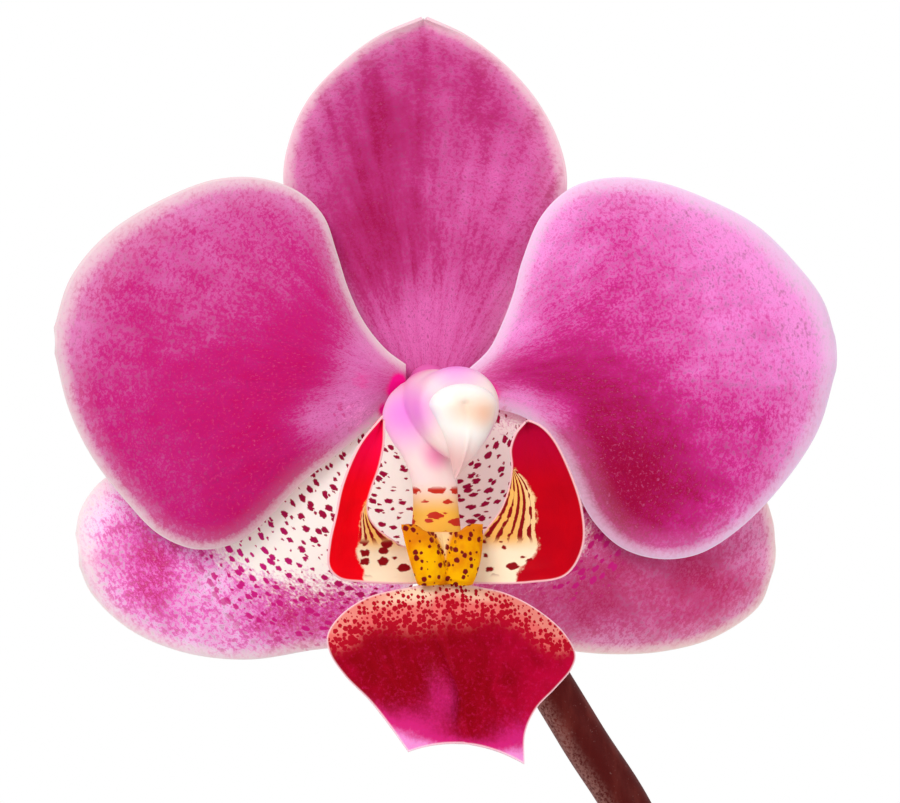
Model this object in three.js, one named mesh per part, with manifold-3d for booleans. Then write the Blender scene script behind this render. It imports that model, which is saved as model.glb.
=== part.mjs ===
// A moth orchid with one open flower, planted in bark in a plain glazed pot.
// Units are millimetres, +Z is up and the flower faces -Y. The origin is the middle of the pot's underside.
import * as THREE from "three";
import { mergeVertices } from "three/addons/utils/BufferGeometryUtils.js";
import Module from "manifold-3d";

const wasm = await Module();
wasm.setup();

// ---------------------------------------------------------------- driving dimensions

const GAP = 0.3; // between any two pieces that rest on or grow out of each other
const FULL_TURN = 2 * Math.PI;

const POT = {
  height: 112,
  footRadius: 45,
  shoulderRadius: 59,
  wall: 4.5,
  floor: 6,
  bandHeight: 16, // the thicker band under the rim
  bandProud: 2.5,
  edgeRound: 1.6,
  drainHoles: 4,
  drainRadius: 5,
  drainCircle: 24,
  drainFacets: 16,
  facets: 48,
};

const BARK = { headspace: 15, sideGap: 0.5, facets: 36 };

// Roots and chips are laid out for a pot of this shoulder radius, and spread or close up with it.
const BED_RADIUS = 59;
const bedScale = POT.shoulderRadius / BED_RADIUS;

const CHIP = {
  count: 10,
  length: 16,
  width: 10,
  thickness: 6,
  ringRadius: 38,
  frontGap: 1.15, // the angle left open in front
  spread: { length: 3, width: 2, thickness: 1, ring: 5, turn: 1.3 }, // how far one chip differs from the next
  worn: { top: 0.16, bottom: 0.064, wave: [3.1, 1.7] }, // how much of each corner is knocked off
};

const CROWN = {
  buried: 20,
  height: 38,
  halfX: 6.5,
  halfY: 9.5,
  topShare: 0.62,
  rings: [0, 0.3, 0.7, 1],
  facets: 20,
};

// Leaves stand in two ranks, left and right, from the oldest and lowest to the youngest.
const LEAF = {
  thickness: 1.8,
  rootWidth: 17,
  rootOffset: 2,
  widest: 0.5, // where the blade reaches its full width, from 0 at the crown to 1 at the tip
  bluntness: 2.6,
  rootChannel: 0.306, // how deep the channel along the midrib is, as a share of the half width
  tipChannel: 0.072,
  bends: [[0.22, 0.85], [0.62, 1.25]], // the midrib's two bends, as shares of the reach and the climb
  columns: 6,
  rows: 12,
};
const LEAVES = [
  { side: 1, turn: -9, height: 9, reach: 158, width: 62, climb: 24, droop: 46 },
  { side: -1, turn: 7, height: 12, reach: 150, width: 60, climb: 30, droop: 40 },
  { side: 1, turn: 8, height: 20, reach: 126, width: 55, climb: 46, droop: 22 },
  { side: -1, turn: -8, height: 24, reach: 112, width: 50, climb: 50, droop: 12 },
  { side: 1, turn: 2, height: 32, reach: 66, width: 34, climb: 56, droop: 0 },
];

// Roots run from the crown over the bark and dive into it; the last one hangs over the rim.
const ROOT = { radius: 2.7, taper: 0.25, sides: 8, steps: 18 };
const besideLeaf = ROOT.radius + LEAF.thickness / 2; // between the middles of a leaf and of a root against it
const ROOTS = [
  [[4, -7, 6], [12, -20, 5.2], [26, -30, 4.2], [40, -26, -1], [44, -14, -14]],
  [[-4, -7, 5], [-16, -17, 5], [-32, -20, 4.2], [-45, -10, -2], [-46, 4, -16]],
  [[5, 8, 5], [18, 20, 4.6], [34, 24, 4], [44, 14, -3], [45, 2, -18]],
  [[-5, 8, 6], [-10, 24, 5], [-2, 38, 4.2], [14, 46, -2], [27, 38, -16]],
  [[-6, 3, 11], [-22, 10.4 + besideLeaf, 15], [-44, 22.4 + besideLeaf, 21], [-62, 37, 17], [-70, 42, -4],
    [-67, 38, -30], [-64, 32, -48]],
];

const SPIKE = { rootRadius: 3.6, tipRadius: 2.7, stubFrom: 0.985, stubShare: 0.45, sides: 10, steps: 44 };
const SPIKE_FOOT = [[2, 12, 9], [4, 21, 34], [10, 26, 92], [15, 25, 150], [14, 20, 205]];
const SPIKE_TOP = [[25.7, 28, -55], [18.2, 28, -42.5], [5.2, 28.5, -21], [-4.3, 28, -4], [-9.8, 27, 6]];

// Scales that hug the spike, `along` it from 0 to 1, each `facing` away from it at an angle round it.
const BRACT = { wrap: 2.5, narrowing: 0.94, thickness: 0.9, clear: 0.1, flare: 1.2, columns: 6, rows: 6 };
const BRACTS = [
  { name: "spike_bract_1", along: 0.16, facing: 20, length: 15 },
  { name: "spike_bract_2", along: 0.36, facing: 200, length: 15 },
  { name: "spike_bract_3", along: 0.55, facing: 30, length: 15 },
  { name: "floral_bract", along: 0.925, facing: -90, length: 5.5 },
];

// The flower's own frame: its middle, where the sepals and petals join, stands here and turns by `yaw`.
const FLOWER = { x: -30, y: -18, z: 415, yaw: 9 };

const RECEPTACLE = { radius: 4.2, front: -0.8, depth: 5, sides: 20 };
const PEDICEL = {
  radius: 1.7,
  ovaryRadius: 2.6,
  from: 0.965, // where it leaves the spike, as a share of the spike's length
  elbow: [0.7, -7, 0.5, 2], // its first bend: shares of the joint's across and up, and shifts back and up
  straight: 7,
  rise: 1.2,
  sides: 10,
  steps: 20,
};

// Outlines run from the joined end to the tip, as [across, up] in the flower's face.
const TEPAL = { thickness: 0.9, leanPower: 1.5, columns: 8, rows: 10 };
const TEPALS = {
  dorsal_sepal: {
    left: [[-4.6, 3.6], [-9.2, 9], [-14.6, 16.6], [-16.6, 24], [-13.8, 33], [-8.6, 38], [-1.2, 42.2]],
    right: [[4.6, 3.6], [9.2, 9], [14.4, 16.6], [16.4, 24], [13, 33], [8.4, 38], [1.2, 42.2]],
    rootDepth: 1.6, tipDepth: 5, crown: -1.6, curl: -1.2,
  },
  lateral_sepal_left: {
    left: [[-4.6, -1.6], [-13, -4.4], [-22.8, -6.3], [-34.2, -8], [-38.3, -11], [-40, -16.7]],
    right: [[-1.4, -4.7], [-3.6, -16], [-6.6, -25], [-13, -30.6], [-24, -31.5], [-34, -28.4], [-39.4, -21]],
    rootDepth: 0.8, tipDepth: 6.5, crown: 0.6, curl: 1.2,
  },
  lateral_sepal_right: {
    left: [[1.4, -4.7], [4, -16], [8, -26], [17, -31], [27, -31.4], [36.4, -29], [42, -22]],
    right: [[4.6, -1.6], [13, -3.8], [24, -6], [35, -8.2], [40.4, -12.3], [42.5, -18]],
    rootDepth: 0.8, tipDepth: 6.5, crown: 0.6, curl: 1.2,
  },
  petal_left: {
    left: [[-4.6, -1.6], [-10, -7.2], [-15.2, -11.4], [-19.4, -15.6], [-26.7, -18.4], [-33, -15.4],
      [-38.6, -8.4], [-41.6, -2], [-42.8, 4]],
    right: [[-4.6, 1.8], [-8, 8], [-10.6, 14.9], [-12.6, 19.4], [-16.8, 22.6], [-22.4, 23.6], [-29, 22],
      [-36.8, 17.3], [-41.3, 12.4], [-42.8, 6.4]],
    rootDepth: -0.6, tipDepth: 0.2, crown: 1.8, curl: 0.8,
  },
  petal_right: {
    left: [[4.7, 1.8], [8.4, 7.6], [10.8, 14.4], [13.2, 19.6], [16.7, 22.8], [22.4, 23.9], [30.2, 22.8],
      [38.7, 18.6], [44.4, 13.2], [48, 5.6]],
    right: [[4.7, -1.6], [11.5, -3.9], [15.2, -7.8], [18.6, -14.6], [22, -18.4], [27, -20], [34, -18.6],
      [41.4, -12], [46.2, -5], [48.3, 2]],
    rootDepth: -0.6, tipDepth: 0.2, crown: 1.8, curl: 0.8,
  },
};

const COLUMN = {
  sides: 16,
  // [across, depth, up, half width, half height] of each cross-section, from the joined end to the head
  body: [[0, -1.2, -0.2, 3.4, 3.4], [-0.5, -3.6, -1.2, 4.4, 3.8], [0.3, -6.6, -2.6, 4.6, 4.2],
    [1.6, -9, -3.6, 4.6, 4.6]],
  // the foot runs down from the column to the lip
  foot: [[-1, -4.2, -2, 3.2, 2.2], [-1.4, -5.4, -6.5, 3.3, 1.9], [-1.3, -7, -11.5, 3, 1.5],
    [-1.1, -8.4, -15.6, 2.8, 1.3]],
};
const CAP = {
  radius: 4,
  length: 3.6,
  wall: 0.7,
  beak: 2.8,
  // [across, depth, half width, half depth] of the beak at its root, under the dome and at its tip
  beakRoot: [0, -1.5, 2.6, 1.2],
  beakMiddle: [0, -1.7, 1.5, 0.9],
  beakTip: [0, -1.4, 0.4, 0.4],
  beakSides: 8,
  sides: 16,
};
const POLLINIUM = { radius: 0.95, spacing: 1.7, up: 0.6, bridge: 0.6, sides: 8, rings: 6 };
const STIPE = { length: 3.2, width: 0.9, thickness: 0.5, up: -0.5 };

// Each lobe of the lip is a sheet between two rails of [across, depth, up].
const LIP = {
  thickness: 1,
  columns: 6,
  rows: 9,
  claw: { width: 5.2, depth: 4.2, height: 6.4, back: -10, top: -16.2 },
  // [across, depth, up, half width, half depth] of each cross-section of the fleshy callus
  callus: [[-0.7, -12.6, -22.8, 3.5, 1.4], [-0.4, -12.2, -19.6, 4, 1.9], [-0.2, -11, -16.4, 4.4, 1.4]],
  callusSides: 10,
  notch: 2.6, // how far the middle lobe's end curves in between its two tips
  notchPower: 6,
  middle: {
    left: [[-3.2, -12, -22.4], [-8.2, -13, -24], [-12.2, -14, -26.2], [-13.7, -15, -28.9], [-12, -16, -32.1],
      [-8.3, -17.5, -34.9], [-6, -18.5, -37.8], [-4.5, -19.5, -40.4]],
    right: [[2.6, -12, -22.4], [8.2, -13, -24.4], [12.2, -14, -27], [14.1, -15, -30.4], [12.4, -16, -33],
      [9.6, -17.5, -35.6], [7.8, -18.5, -38.8], [7.6, -19.6, -41.8]],
  },
  wingLeft: {
    left: [[-1.6, -11, -22.4], [-3.7, -11.6, -22.5], [-9.9, -13, -22.1], [-13.4, -14.5, -20.8],
      [-13.7, -15.5, -17.8], [-12.8, -16, -14.4], [-11.6, -16, -10.8], [-9.8, -15.5, -7.3],
      [-7.9, -15, -4.2]],
    right: [[-1.6, -10, -17.6], [-5, -10.5, -18.2], [-7, -11.5, -17.6], [-8.5, -12.5, -16],
      [-9, -13.5, -12.9], [-8.6, -14, -9.5], [-7.8, -14.5, -6.2], [-7.3, -14.8, -4.6]],
  },
  wingRight: {
    left: [[1.6, -10, -17.6], [5, -10.5, -18.2], [6.8, -11.5, -16.9], [7.5, -12.5, -14.2],
      [7.3, -13.7, -10.5], [7.5, -14.3, -7.2], [8.4, -14.8, -4.9]],
    right: [[1.6, -11, -22.4], [3.4, -11.6, -22.5], [9.3, -13, -22.2], [13.4, -14.5, -20.7],
      [14.8, -15.7, -16.8], [14.1, -16, -11.8], [12.5, -15.5, -7.9], [9.4, -15, -4.4]],
  },
};

// ---------------------------------------------------------------- shape helpers

const vec = (x, y, z) => new THREE.Vector3(x, y, z);
const radians = THREE.MathUtils.degToRad;

/** The geometry with every face pointing outwards. */
function outward(geometry) {
  const { array } = geometry.attributes.position;
  const index = geometry.index.array;
  let volume = 0;
  for (let i = 0; i < index.length; i += 3) {
    const [a, b, c] = [0, 1, 2].map((k) => vec().fromArray(array, 3 * index[i + k]));
    volume += a.dot(b.cross(c));
  }
  if (volume < 0) index.reverse();
  return geometry;
}

/** A mesh geometry from points and triangles. */
function geometryOf(points, triangles) {
  const geometry = new THREE.BufferGeometry().setFromPoints(points);
  geometry.setIndex(triangles.flat());
  return outward(geometry);
}

/** A closed geometry as a solid that can be joined and cut. */
function solidOf(geometry) {
  const bare = geometry.clone();
  bare.deleteAttribute("normal");
  bare.deleteAttribute("uv");
  const merged = mergeVertices(bare, 1e-4);
  return new wasm.Manifold(
    new wasm.Mesh({
      numProp: 3,
      vertProperties: merged.attributes.position.array,
      triVerts: new Uint32Array(merged.index.array),
    }),
  );
}

/** The geometry of a solid. */
function geometryFrom(solid) {
  const { vertProperties, triVerts } = solid.getMesh();
  return new THREE.BufferGeometry()
    .setAttribute("position", new THREE.BufferAttribute(vertProperties, 3))
    .setIndex(new THREE.BufferAttribute(triVerts, 1));
}

/** The largest of a solid's separate bodies, which drops the scraps that a cut can leave. */
function largest(solid) {
  return solid.decompose().reduce((most, body) => (body.volume() > most.volume() ? body : most));
}

/** A closed sheet about the surface point(s, t), with s across it and t along it. */
function sheet(point, { columns, rows, thickness }) {
  const step = 1e-3;
  const across = columns + 1;
  const sides = [[], []];
  for (let j = 0; j <= rows; j++) {
    for (let i = 0; i <= columns; i++) {
      const [s, t] = [i / columns, j / rows];
      const [s0, t0] = [Math.min(s, 1 - step), Math.min(t, 1 - step)];
      const here = point(s0, t0);
      const normal = point(s0 + step, t0).sub(here).cross(point(s0, t0 + step).sub(here)).normalize();
      [1, -1].forEach((way, k) => sides[k].push(point(s, t).addScaledVector(normal, (way * thickness) / 2)));
    }
  }
  const back = sides[0].length;
  const triangles = [];
  const quad = (a, b, c, d) => triangles.push([a, b, c], [a, c, d]);
  for (let j = 0; j < rows; j++) {
    for (let i = 0; i < columns; i++) {
      const a = j * across + i;
      quad(a, a + 1, a + across + 1, a + across);
      quad(back + a, back + a + across, back + a + across + 1, back + a + 1);
    }
  }
  for (let i = 0; i < columns; i++) {
    const far = rows * across + i;
    quad(i, back + i, back + i + 1, i + 1);
    quad(far, far + 1, back + far + 1, back + far);
  }
  for (let j = 0; j < rows; j++) {
    const a = j * across;
    const b = a + columns;
    quad(a, a + across, back + a + across, back + a);
    quad(b, back + b, back + b + across, b + across);
  }
  return geometryOf([...sides[0], ...sides[1]], triangles);
}

/** A closed skin over rings of points, each ring in the same order, with flat ends. */
function skin(rings) {
  const sides = rings[0].length;
  const triangles = [];
  for (let j = 0; j < rings.length - 1; j++) {
    for (let i = 0; i < sides; i++) {
      const [a, b] = [j * sides + i, j * sides + ((i + 1) % sides)];
      triangles.push([a, b, b + sides], [a, b + sides, a + sides]);
    }
  }
  const last = (rings.length - 1) * sides;
  for (let i = 1; i < sides - 1; i++) {
    triangles.push([0, i + 1, i], [last, last + i, last + i + 1]);
  }
  return geometryOf(rings.flat(), triangles);
}

/** A round rod along a curve; radiusAt gives its radius from t = 0 to 1. */
function rod(curve, radiusAt, { steps, sides }) {
  const { normals, binormals } = curve.computeFrenetFrames(steps, false);
  const rings = [];
  for (let j = 0; j <= steps; j++) {
    const middle = curve.getPointAt(j / steps);
    const radius = radiusAt(j / steps);
    rings.push(
      Array.from({ length: sides }, (_, i) => {
        const angle = (FULL_TURN * i) / sides;
        return middle
          .clone()
          .addScaledVector(normals[j], radius * Math.cos(angle))
          .addScaledVector(binormals[j], radius * Math.sin(angle));
      }),
    );
  }
  return skin(rings);
}

/** A smooth curve through the points [x, y, z]. */
function curveThrough(points) {
  return new THREE.CatmullRomCurve3(points.map((p) => vec(...p)), false, "centripetal");
}

/** The surface between two rails: s runs from the first to the second, t along them. */
function between(first, second) {
  const [a, b] = [curveThrough(first), curveThrough(second)];
  return (s, t) => a.getPointAt(t).lerp(b.getPointAt(t), s);
}

function material(colour, roughness = 0.6) {
  return new THREE.MeshStandardMaterial({ color: colour, roughness, metalness: 0 });
}

function named(name, geometry, finish) {
  geometry.computeVertexNormals();
  const mesh = new THREE.Mesh(geometry, finish);
  mesh.name = name;
  return mesh;
}

const FINISH = {
  pot: material("#e9e4da", 0.25),
  bark: material("#5d3b25", 0.95),
  crown: material("#5f7a33", 0.6),
  leaf: material("#2f5a26", 0.4),
  root: material("#a9ad93", 0.8),
  spike: material("#3a1712", 0.5),
  bract: material("#5b3a26", 0.7),
  tepal: material("#cf3fa0", 0.6),
  lip: material("#b3122f", 0.5),
  column: material("#e3a3dc", 0.5),
  cap: material("#fbf3e2", 0.4),
  pollen: material("#f0b400", 0.4),
};

// ---------------------------------------------------------------- pot and planting

const barkTop = POT.height - BARK.headspace;

/** The outside radius of the pot's tapered wall at a height. */
const potRadius = (z) => POT.footRadius + ((POT.shoulderRadius - POT.footRadius) * z) / POT.height;

function makePot() {
  const { height, wall, floor, bandHeight, bandProud, edgeRound, facets } = POT;
  const band = height - bandHeight;
  const inside = (z) => potRadius(z) - wall;
  const profile = [
    [0, 0],
    [POT.footRadius - edgeRound, 0],
    [POT.footRadius, edgeRound],
    [potRadius(band), band],
    [potRadius(band) + bandProud, band + edgeRound],
    [potRadius(height) + bandProud, height - edgeRound],
    [potRadius(height) + bandProud - edgeRound, height],
    [inside(height) + edgeRound, height],
    [inside(height), height - edgeRound],
    [inside(floor), floor],
    [0, floor],
  ].map(([r, z]) => new THREE.Vector2(r, z));
  const body = new THREE.LatheGeometry(profile, facets).rotateX(Math.PI / 2);
  let pot = solidOf(outward(mergeVertices(stripped(body), 1e-4)));
  for (let i = 0; i < POT.drainHoles; i++) {
    const angle = (FULL_TURN * (i + 0.5)) / POT.drainHoles;
    const drill = new THREE.CylinderGeometry(POT.drainRadius, POT.drainRadius, 3 * floor, POT.drainFacets)
      .rotateX(Math.PI / 2)
      .translate(POT.drainCircle * Math.cos(angle), POT.drainCircle * Math.sin(angle), floor / 2);
    pot = pot.subtract(solidOf(drill));
  }
  return named("pot", geometryFrom(pot), FINISH.pot);
}

/** The geometry with only its positions left. */
function stripped(geometry) {
  geometry.deleteAttribute("normal");
  geometry.deleteAttribute("uv");
  return geometry;
}

/** The short upright stem that leaves, roots and spike grow from, grown all round by `extra`. */
function crownSolid(extra = 0) {
  const bottom = barkTop - CROWN.buried;
  const levels = CROWN.rings.map((share) => {
    const taper = 1 - (1 - CROWN.topShare) * share ** 2;
    const z = bottom - extra + share * (CROWN.height + CROWN.buried + 2 * extra);
    return Array.from({ length: CROWN.facets }, (_, i) => {
      const angle = (FULL_TURN * i) / CROWN.facets;
      return vec(
        (CROWN.halfX * taper + extra) * Math.cos(angle),
        (CROWN.halfY * taper + extra) * Math.sin(angle),
        z,
      );
    });
  });
  return solidOf(skin(levels));
}

const crownSpace = crownSolid(GAP);

const makeCrown = () => named("crown_stem", geometryFrom(crownSolid()), FINISH.crown);

/** A root's solid; it starts in the crown, and `extra` thickens it to make the space that it lies in. */
function rootSolid(route, extra = 0) {
  const spread = ([x, y, z], i) => {
    const scale = i === 0 ? 1 : bedScale;
    return [x * scale, y * scale, barkTop + z];
  };
  const curve = curveThrough(route.map(spread));
  const taper = (t) => ROOT.radius * (1 - ROOT.taper * t) + extra;
  return solidOf(rod(curve, taper, ROOT));
}

/** The space round every root, which leaves and chips keep clear of. */
const rootSpace = () => ROOTS.map((route) => rootSolid(route, GAP)).reduce((all, root) => all.add(root));

function makeRoots() {
  return ROOTS.map((route, i) =>
    named(`root_${i + 1}`, geometryFrom(largest(rootSolid(route).subtract(crownSpace))), FINISH.root),
  );
}

function makeBark() {
  const inside = (z) => potRadius(z) - POT.wall - BARK.sideGap;
  const bottom = POT.floor + GAP;
  const profile = [
    [0, bottom],
    [inside(bottom), bottom],
    [inside(barkTop), barkTop],
    [0, barkTop],
  ].map(([r, z]) => new THREE.Vector2(r, z));
  const fill = outward(mergeVertices(stripped(new THREE.LatheGeometry(profile, BARK.facets)), 1e-4));
  const bark = solidOf(fill.rotateX(Math.PI / 2)).subtract(crownSpace);
  return named("potting_bark", geometryFrom(largest(bark.subtract(rootSpace()))), FINISH.bark);
}

/** Chip number `i` of the ring, its corners knocked off; `extra` swells it all round. */
function chipSolid(i, extra = 0) {
  const { count, length, width, thickness, ringRadius, frontGap, spread, worn } = CHIP;
  const angle = -Math.PI / 2 + frontGap / 2 + (i / (count - 1)) * (FULL_TURN - frontGap);
  const wave = Math.sin(7 * i + 1);
  const radius = (ringRadius + spread.ring * Math.cos(5 * i)) * bedScale;
  const [long, wide, deep] = [
    length + spread.length * wave,
    width - spread.width * wave,
    thickness + spread.thickness * wave,
  ].map((side) => side + 2 * extra);
  const box = new THREE.BoxGeometry(long, wide, deep, 2, 2, 1);
  const { position } = box.attributes;
  for (let k = 0; k < position.count; k++) {
    const p = vec().fromBufferAttribute(position, k);
    const wear = p.z > 0 ? worn.top : worn.bottom;
    const shrink = 1 - wear * Math.abs(Math.sin(worn.wave[0] * p.x + worn.wave[1] * p.y + i));
    position.setXY(k, p.x * shrink, p.y * shrink);
  }
  box.translate(0, 0, deep / 2 - extra);
  box.rotateZ(angle + spread.turn * wave);
  box.translate(radius * Math.cos(angle), radius * Math.sin(angle), barkTop + GAP);
  return solidOf(box);
}

/** Loose chips of bark on the bed, each cut clear of the roots, the crown and the chips before it. */
function makeChips() {
  let taken = rootSpace().add(crownSpace);
  return Array.from({ length: CHIP.count }, (_, i) => {
    const chip = largest(chipSolid(i).subtract(taken));
    taken = taken.add(chipSolid(i, GAP));
    return named(`bark_chip_${i + 1}`, geometryFrom(chip), FINISH.bark);
  });
}

// ---------------------------------------------------------------- leaves

/** A strap leaf that climbs from the crown and arches over, channelled along its midrib. */
function leafSolid({ side, turn, height, reach, width, climb, droop }) {
  const root = barkTop + height;
  const midrib = new THREE.CubicBezierCurve3(
    vec(LEAF.rootOffset, 0, root),
    ...LEAF.bends.map(([out, up]) => vec(reach * out, 0, root + climb * up)),
    vec(reach, 0, root + climb - droop),
  );
  const halfWidth = (t) => {
    const opened = THREE.MathUtils.smoothstep(t, 0, LEAF.widest);
    const blade = THREE.MathUtils.lerp(LEAF.rootWidth, width, opened);
    const past = Math.max(0, t - LEAF.widest) / (1.01 - LEAF.widest); // just under 1 at the tip
    return (blade / 2) * Math.sqrt(1 - past ** LEAF.bluntness);
  };
  const channel = (t) => LEAF.rootChannel * (1 - t) + LEAF.tipChannel;
  const point = (s, t) => {
    const across = 2 * s - 1;
    const half = halfWidth(t);
    return midrib
      .getPointAt(t)
      .add(vec(0, across * half, channel(t) * half * across ** 2));
  };
  const heading = (side > 0 ? 0 : Math.PI) + radians(turn);
  return solidOf(sheet(point, LEAF).rotateZ(heading));
}

function makeLeaves() {
  const taken = rootSpace().add(crownSpace);
  return LEAVES.map((leaf, i) =>
    named(`leaf_${i + 1}`, geometryFrom(largest(leafSolid(leaf).subtract(taken))), FINISH.leaf),
  );
}

// ---------------------------------------------------------------- spike

const flowerFrame = new THREE.Group();
flowerFrame.position.set(FLOWER.x, FLOWER.y, FLOWER.z);
flowerFrame.rotation.z = radians(FLOWER.yaw);
flowerFrame.updateMatrixWorld(true);

const spikeCurve = curveThrough([
  ...SPIKE_FOOT.map(([x, y, z]) => [x, y, barkTop + z]),
  ...SPIKE_TOP.map(([x, y, z]) => [FLOWER.x + x, FLOWER.y + y, FLOWER.z + z]),
]);
const spikeRadius = (t) => THREE.MathUtils.lerp(SPIKE.rootRadius, SPIKE.tipRadius, t);

/** The flower stem; `extra` thickens it to keep its neighbours clear. */
function spikeSolid(extra = 0) {
  const stub = (t) => (t > SPIKE.stubFrom ? SPIKE.stubShare : 1) * spikeRadius(t) + extra;
  return solidOf(rod(spikeCurve, stub, SPIKE));
}

const spikeSpace = spikeSolid(GAP);

function makeSpike() {
  return named("flower_spike", geometryFrom(largest(spikeSolid().subtract(crownSpace))), FINISH.spike);
}

/** A pointed scale that hugs the spike over a node. */
function makeBract({ name, along, facing, length }) {
  const start = spikeCurve.getPointAt(along);
  const way = spikeCurve.getTangentAt(along);
  const side = vec(Math.cos(radians(facing)), Math.sin(radians(facing)), 0);
  side.addScaledVector(way, -side.dot(way)).normalize();
  const cross = way.clone().cross(side);
  const point = (s, t) => {
    const half = (BRACT.wrap / 2) * Math.sqrt(1 - BRACT.narrowing * t ** 1.5);
    const angle = (2 * s - 1) * half;
    const radius = spikeRadius(along) + GAP + BRACT.thickness / 2 + BRACT.clear + BRACT.flare * t ** 2;
    return start
      .clone()
      .addScaledVector(way, t * length)
      .addScaledVector(side, radius * Math.cos(angle))
      .addScaledVector(cross, radius * Math.sin(angle));
  };
  const scale = solidOf(sheet(point, BRACT)).subtract(spikeSpace);
  return named(name, geometryFrom(largest(scale)), FINISH.bract);
}

// ---------------------------------------------------------------- flower

/** A sepal or petal: a thin sheet between its two edges, arched in depth. */
function makeTepal([name, { left, right, rootDepth, tipDepth, crown, curl }]) {
  const flat = (rail) => rail.map(([x, z]) => [x, 0, z]);
  const face = between(flat(left), flat(right));
  const point = (s, t) => {
    const across = 2 * s - 1;
    const lean = rootDepth + (tipDepth - rootDepth) * t ** TEPAL.leanPower;
    const arch = crown * Math.sin(Math.PI * t) * (1 - across ** 2);
    return face(s, t).setY(lean - arch + curl * across ** 2 * Math.sin((Math.PI * t) / 2));
  };
  return named(name, sheet(point, TEPAL), FINISH.tepal);
}

/** An oval skin over cross-sections of [across, depth, up, half width, half height]. */
function ovalSkin(sections, sides, upright) {
  return skin(
    sections.map(([x, y, z, halfWidth, halfHeight]) =>
      Array.from({ length: sides }, (_, i) => {
        const angle = (FULL_TURN * i) / sides;
        const [a, b] = [halfWidth * Math.cos(angle), halfHeight * Math.sin(angle)];
        return upright ? vec(x + a, y, z + b) : vec(x + a, y + b, z);
      }),
    ),
  );
}

function makeColumn() {
  const body = solidOf(ovalSkin(COLUMN.body, COLUMN.sides, true));
  const foot = solidOf(ovalSkin(COLUMN.foot, COLUMN.sides, false));
  return named("column", geometryFrom(body.add(foot)), FINISH.column);
}

const columnHead = COLUMN.body[COLUMN.body.length - 1];

/** The cap over the pollen: a small hollow dome with a beak below, open at the back. */
function makeCap() {
  const [x, y, z] = columnHead;
  const dome = (radius, length) =>
    solidOf(
      new THREE.SphereGeometry(1, CAP.sides, CAP.sides / 2)
        .rotateX(Math.PI / 2)
        .scale(radius, length, radius),
    );
  const heights = [-1, -CAP.radius, -CAP.radius - CAP.beak];
  const taper = [CAP.beakRoot, CAP.beakMiddle, CAP.beakTip].map(([across, deep, w, d], i) => [
    across, deep, heights[i], w, d,
  ]);
  const beak = solidOf(ovalSkin(taper, CAP.beakSides, false));
  const reach = 4 * CAP.radius;
  const behind = solidOf(new THREE.BoxGeometry(2 * reach, reach, 2 * reach).translate(0, reach / 2, 0));
  const hollow = dome(CAP.radius - CAP.wall, CAP.length - CAP.wall);
  const cap = dome(CAP.radius, CAP.length).add(beak).subtract(hollow).subtract(behind);
  return named("anther_cap", geometryFrom(largest(cap)).translate(x, y - GAP, z), FINISH.cap);
}

/** Two waxy pollen masses on one flat stalk, under the cap. */
function makePollinarium() {
  const [x, y, z] = columnHead;
  const { radius, spacing, up, bridge, sides, rings } = POLLINIUM;
  const ball = (side) =>
    solidOf(new THREE.SphereGeometry(radius, sides, rings).translate((side * spacing) / 2, 0, up));
  const stalk = solidOf(
    new THREE.BoxGeometry(STIPE.width, STIPE.thickness, STIPE.length).translate(0, 0, STIPE.up),
  );
  const bar = solidOf(new THREE.BoxGeometry(spacing, bridge, bridge).translate(0, 0, up));
  const depth = y - GAP - radius;
  const pollen = ball(1).add(ball(-1)).add(stalk).add(bar);
  return named("pollinarium", geometryFrom(pollen).translate(x, depth, z), FINISH.pollen);
}

/** The lip: a claw that carries the callus, two upright side lobes and the middle lobe. */
function makeLip() {
  const { claw, notch, middle, wingLeft, wingRight } = LIP;
  const callus = solidOf(ovalSkin(LIP.callus, LIP.callusSides, false));
  const root = solidOf(
    new THREE.BoxGeometry(claw.width, claw.depth, claw.height).translate(
      0,
      claw.back,
      claw.top - claw.height / 2,
    ),
  );
  const plain = between(middle.left, middle.right);
  const notched = (s, t) => plain(s, t).add(vec(0, 0, notch * (1 - (2 * s - 1) ** 2) * t ** LIP.notchPower));
  const wings = [wingLeft, wingRight].map(({ left, right }) => between(left, right));
  const lobes = [notched, ...wings].map((surface) => solidOf(sheet(surface, LIP)));
  const lip = lobes.reduce((all, lobe) => all.add(lobe), root.add(callus));
  return named("lip", geometryFrom(largest(lip.subtract(footSpace()))), FINISH.lip);
}

/** The space round the column's foot that the lip keeps clear of. */
function footSpace() {
  const swollen = COLUMN.foot.map(([x, y, z, w, h]) => [x, y, z, w + GAP, h + GAP]);
  const [x, y, z, w, h] = swollen[swollen.length - 1];
  return solidOf(ovalSkin([...swollen, [x, y, z - GAP, w, h]], COLUMN.sides, false));
}

/** The flower's own stalk, which swells into the ovary and ends in the receptacle. */
function makePedicel() {
  const joint = flowerFrame.worldToLocal(spikeCurve.getPointAt(PEDICEL.from));
  const [across, backwards, up, lift] = PEDICEL.elbow;
  const { radius, front, depth, sides } = RECEPTACLE;
  const back = front + depth;
  const curve = curveThrough([
    joint.toArray(),
    [joint.x * across, joint.y + backwards, joint.z * up + lift],
    [0, back + PEDICEL.straight, PEDICEL.rise],
    [0, back - 1, 0],
  ]);
  const stalkRadius = (t) => THREE.MathUtils.lerp(PEDICEL.radius, PEDICEL.ovaryRadius, t ** 2);
  const knob = solidOf(
    new THREE.CylinderGeometry(radius, PEDICEL.ovaryRadius, depth, sides)
      .rotateX(Math.PI)
      .translate(0, front + depth / 2, 0),
  );
  const spikeHere = solidOf(
    geometryFrom(spikeSpace).applyMatrix4(flowerFrame.matrixWorld.clone().invert()),
  );
  const stalk = solidOf(rod(curve, stalkRadius, PEDICEL)).add(knob).subtract(spikeHere);
  return named("pedicel", geometryFrom(largest(stalk)), FINISH.spike);
}

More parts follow.
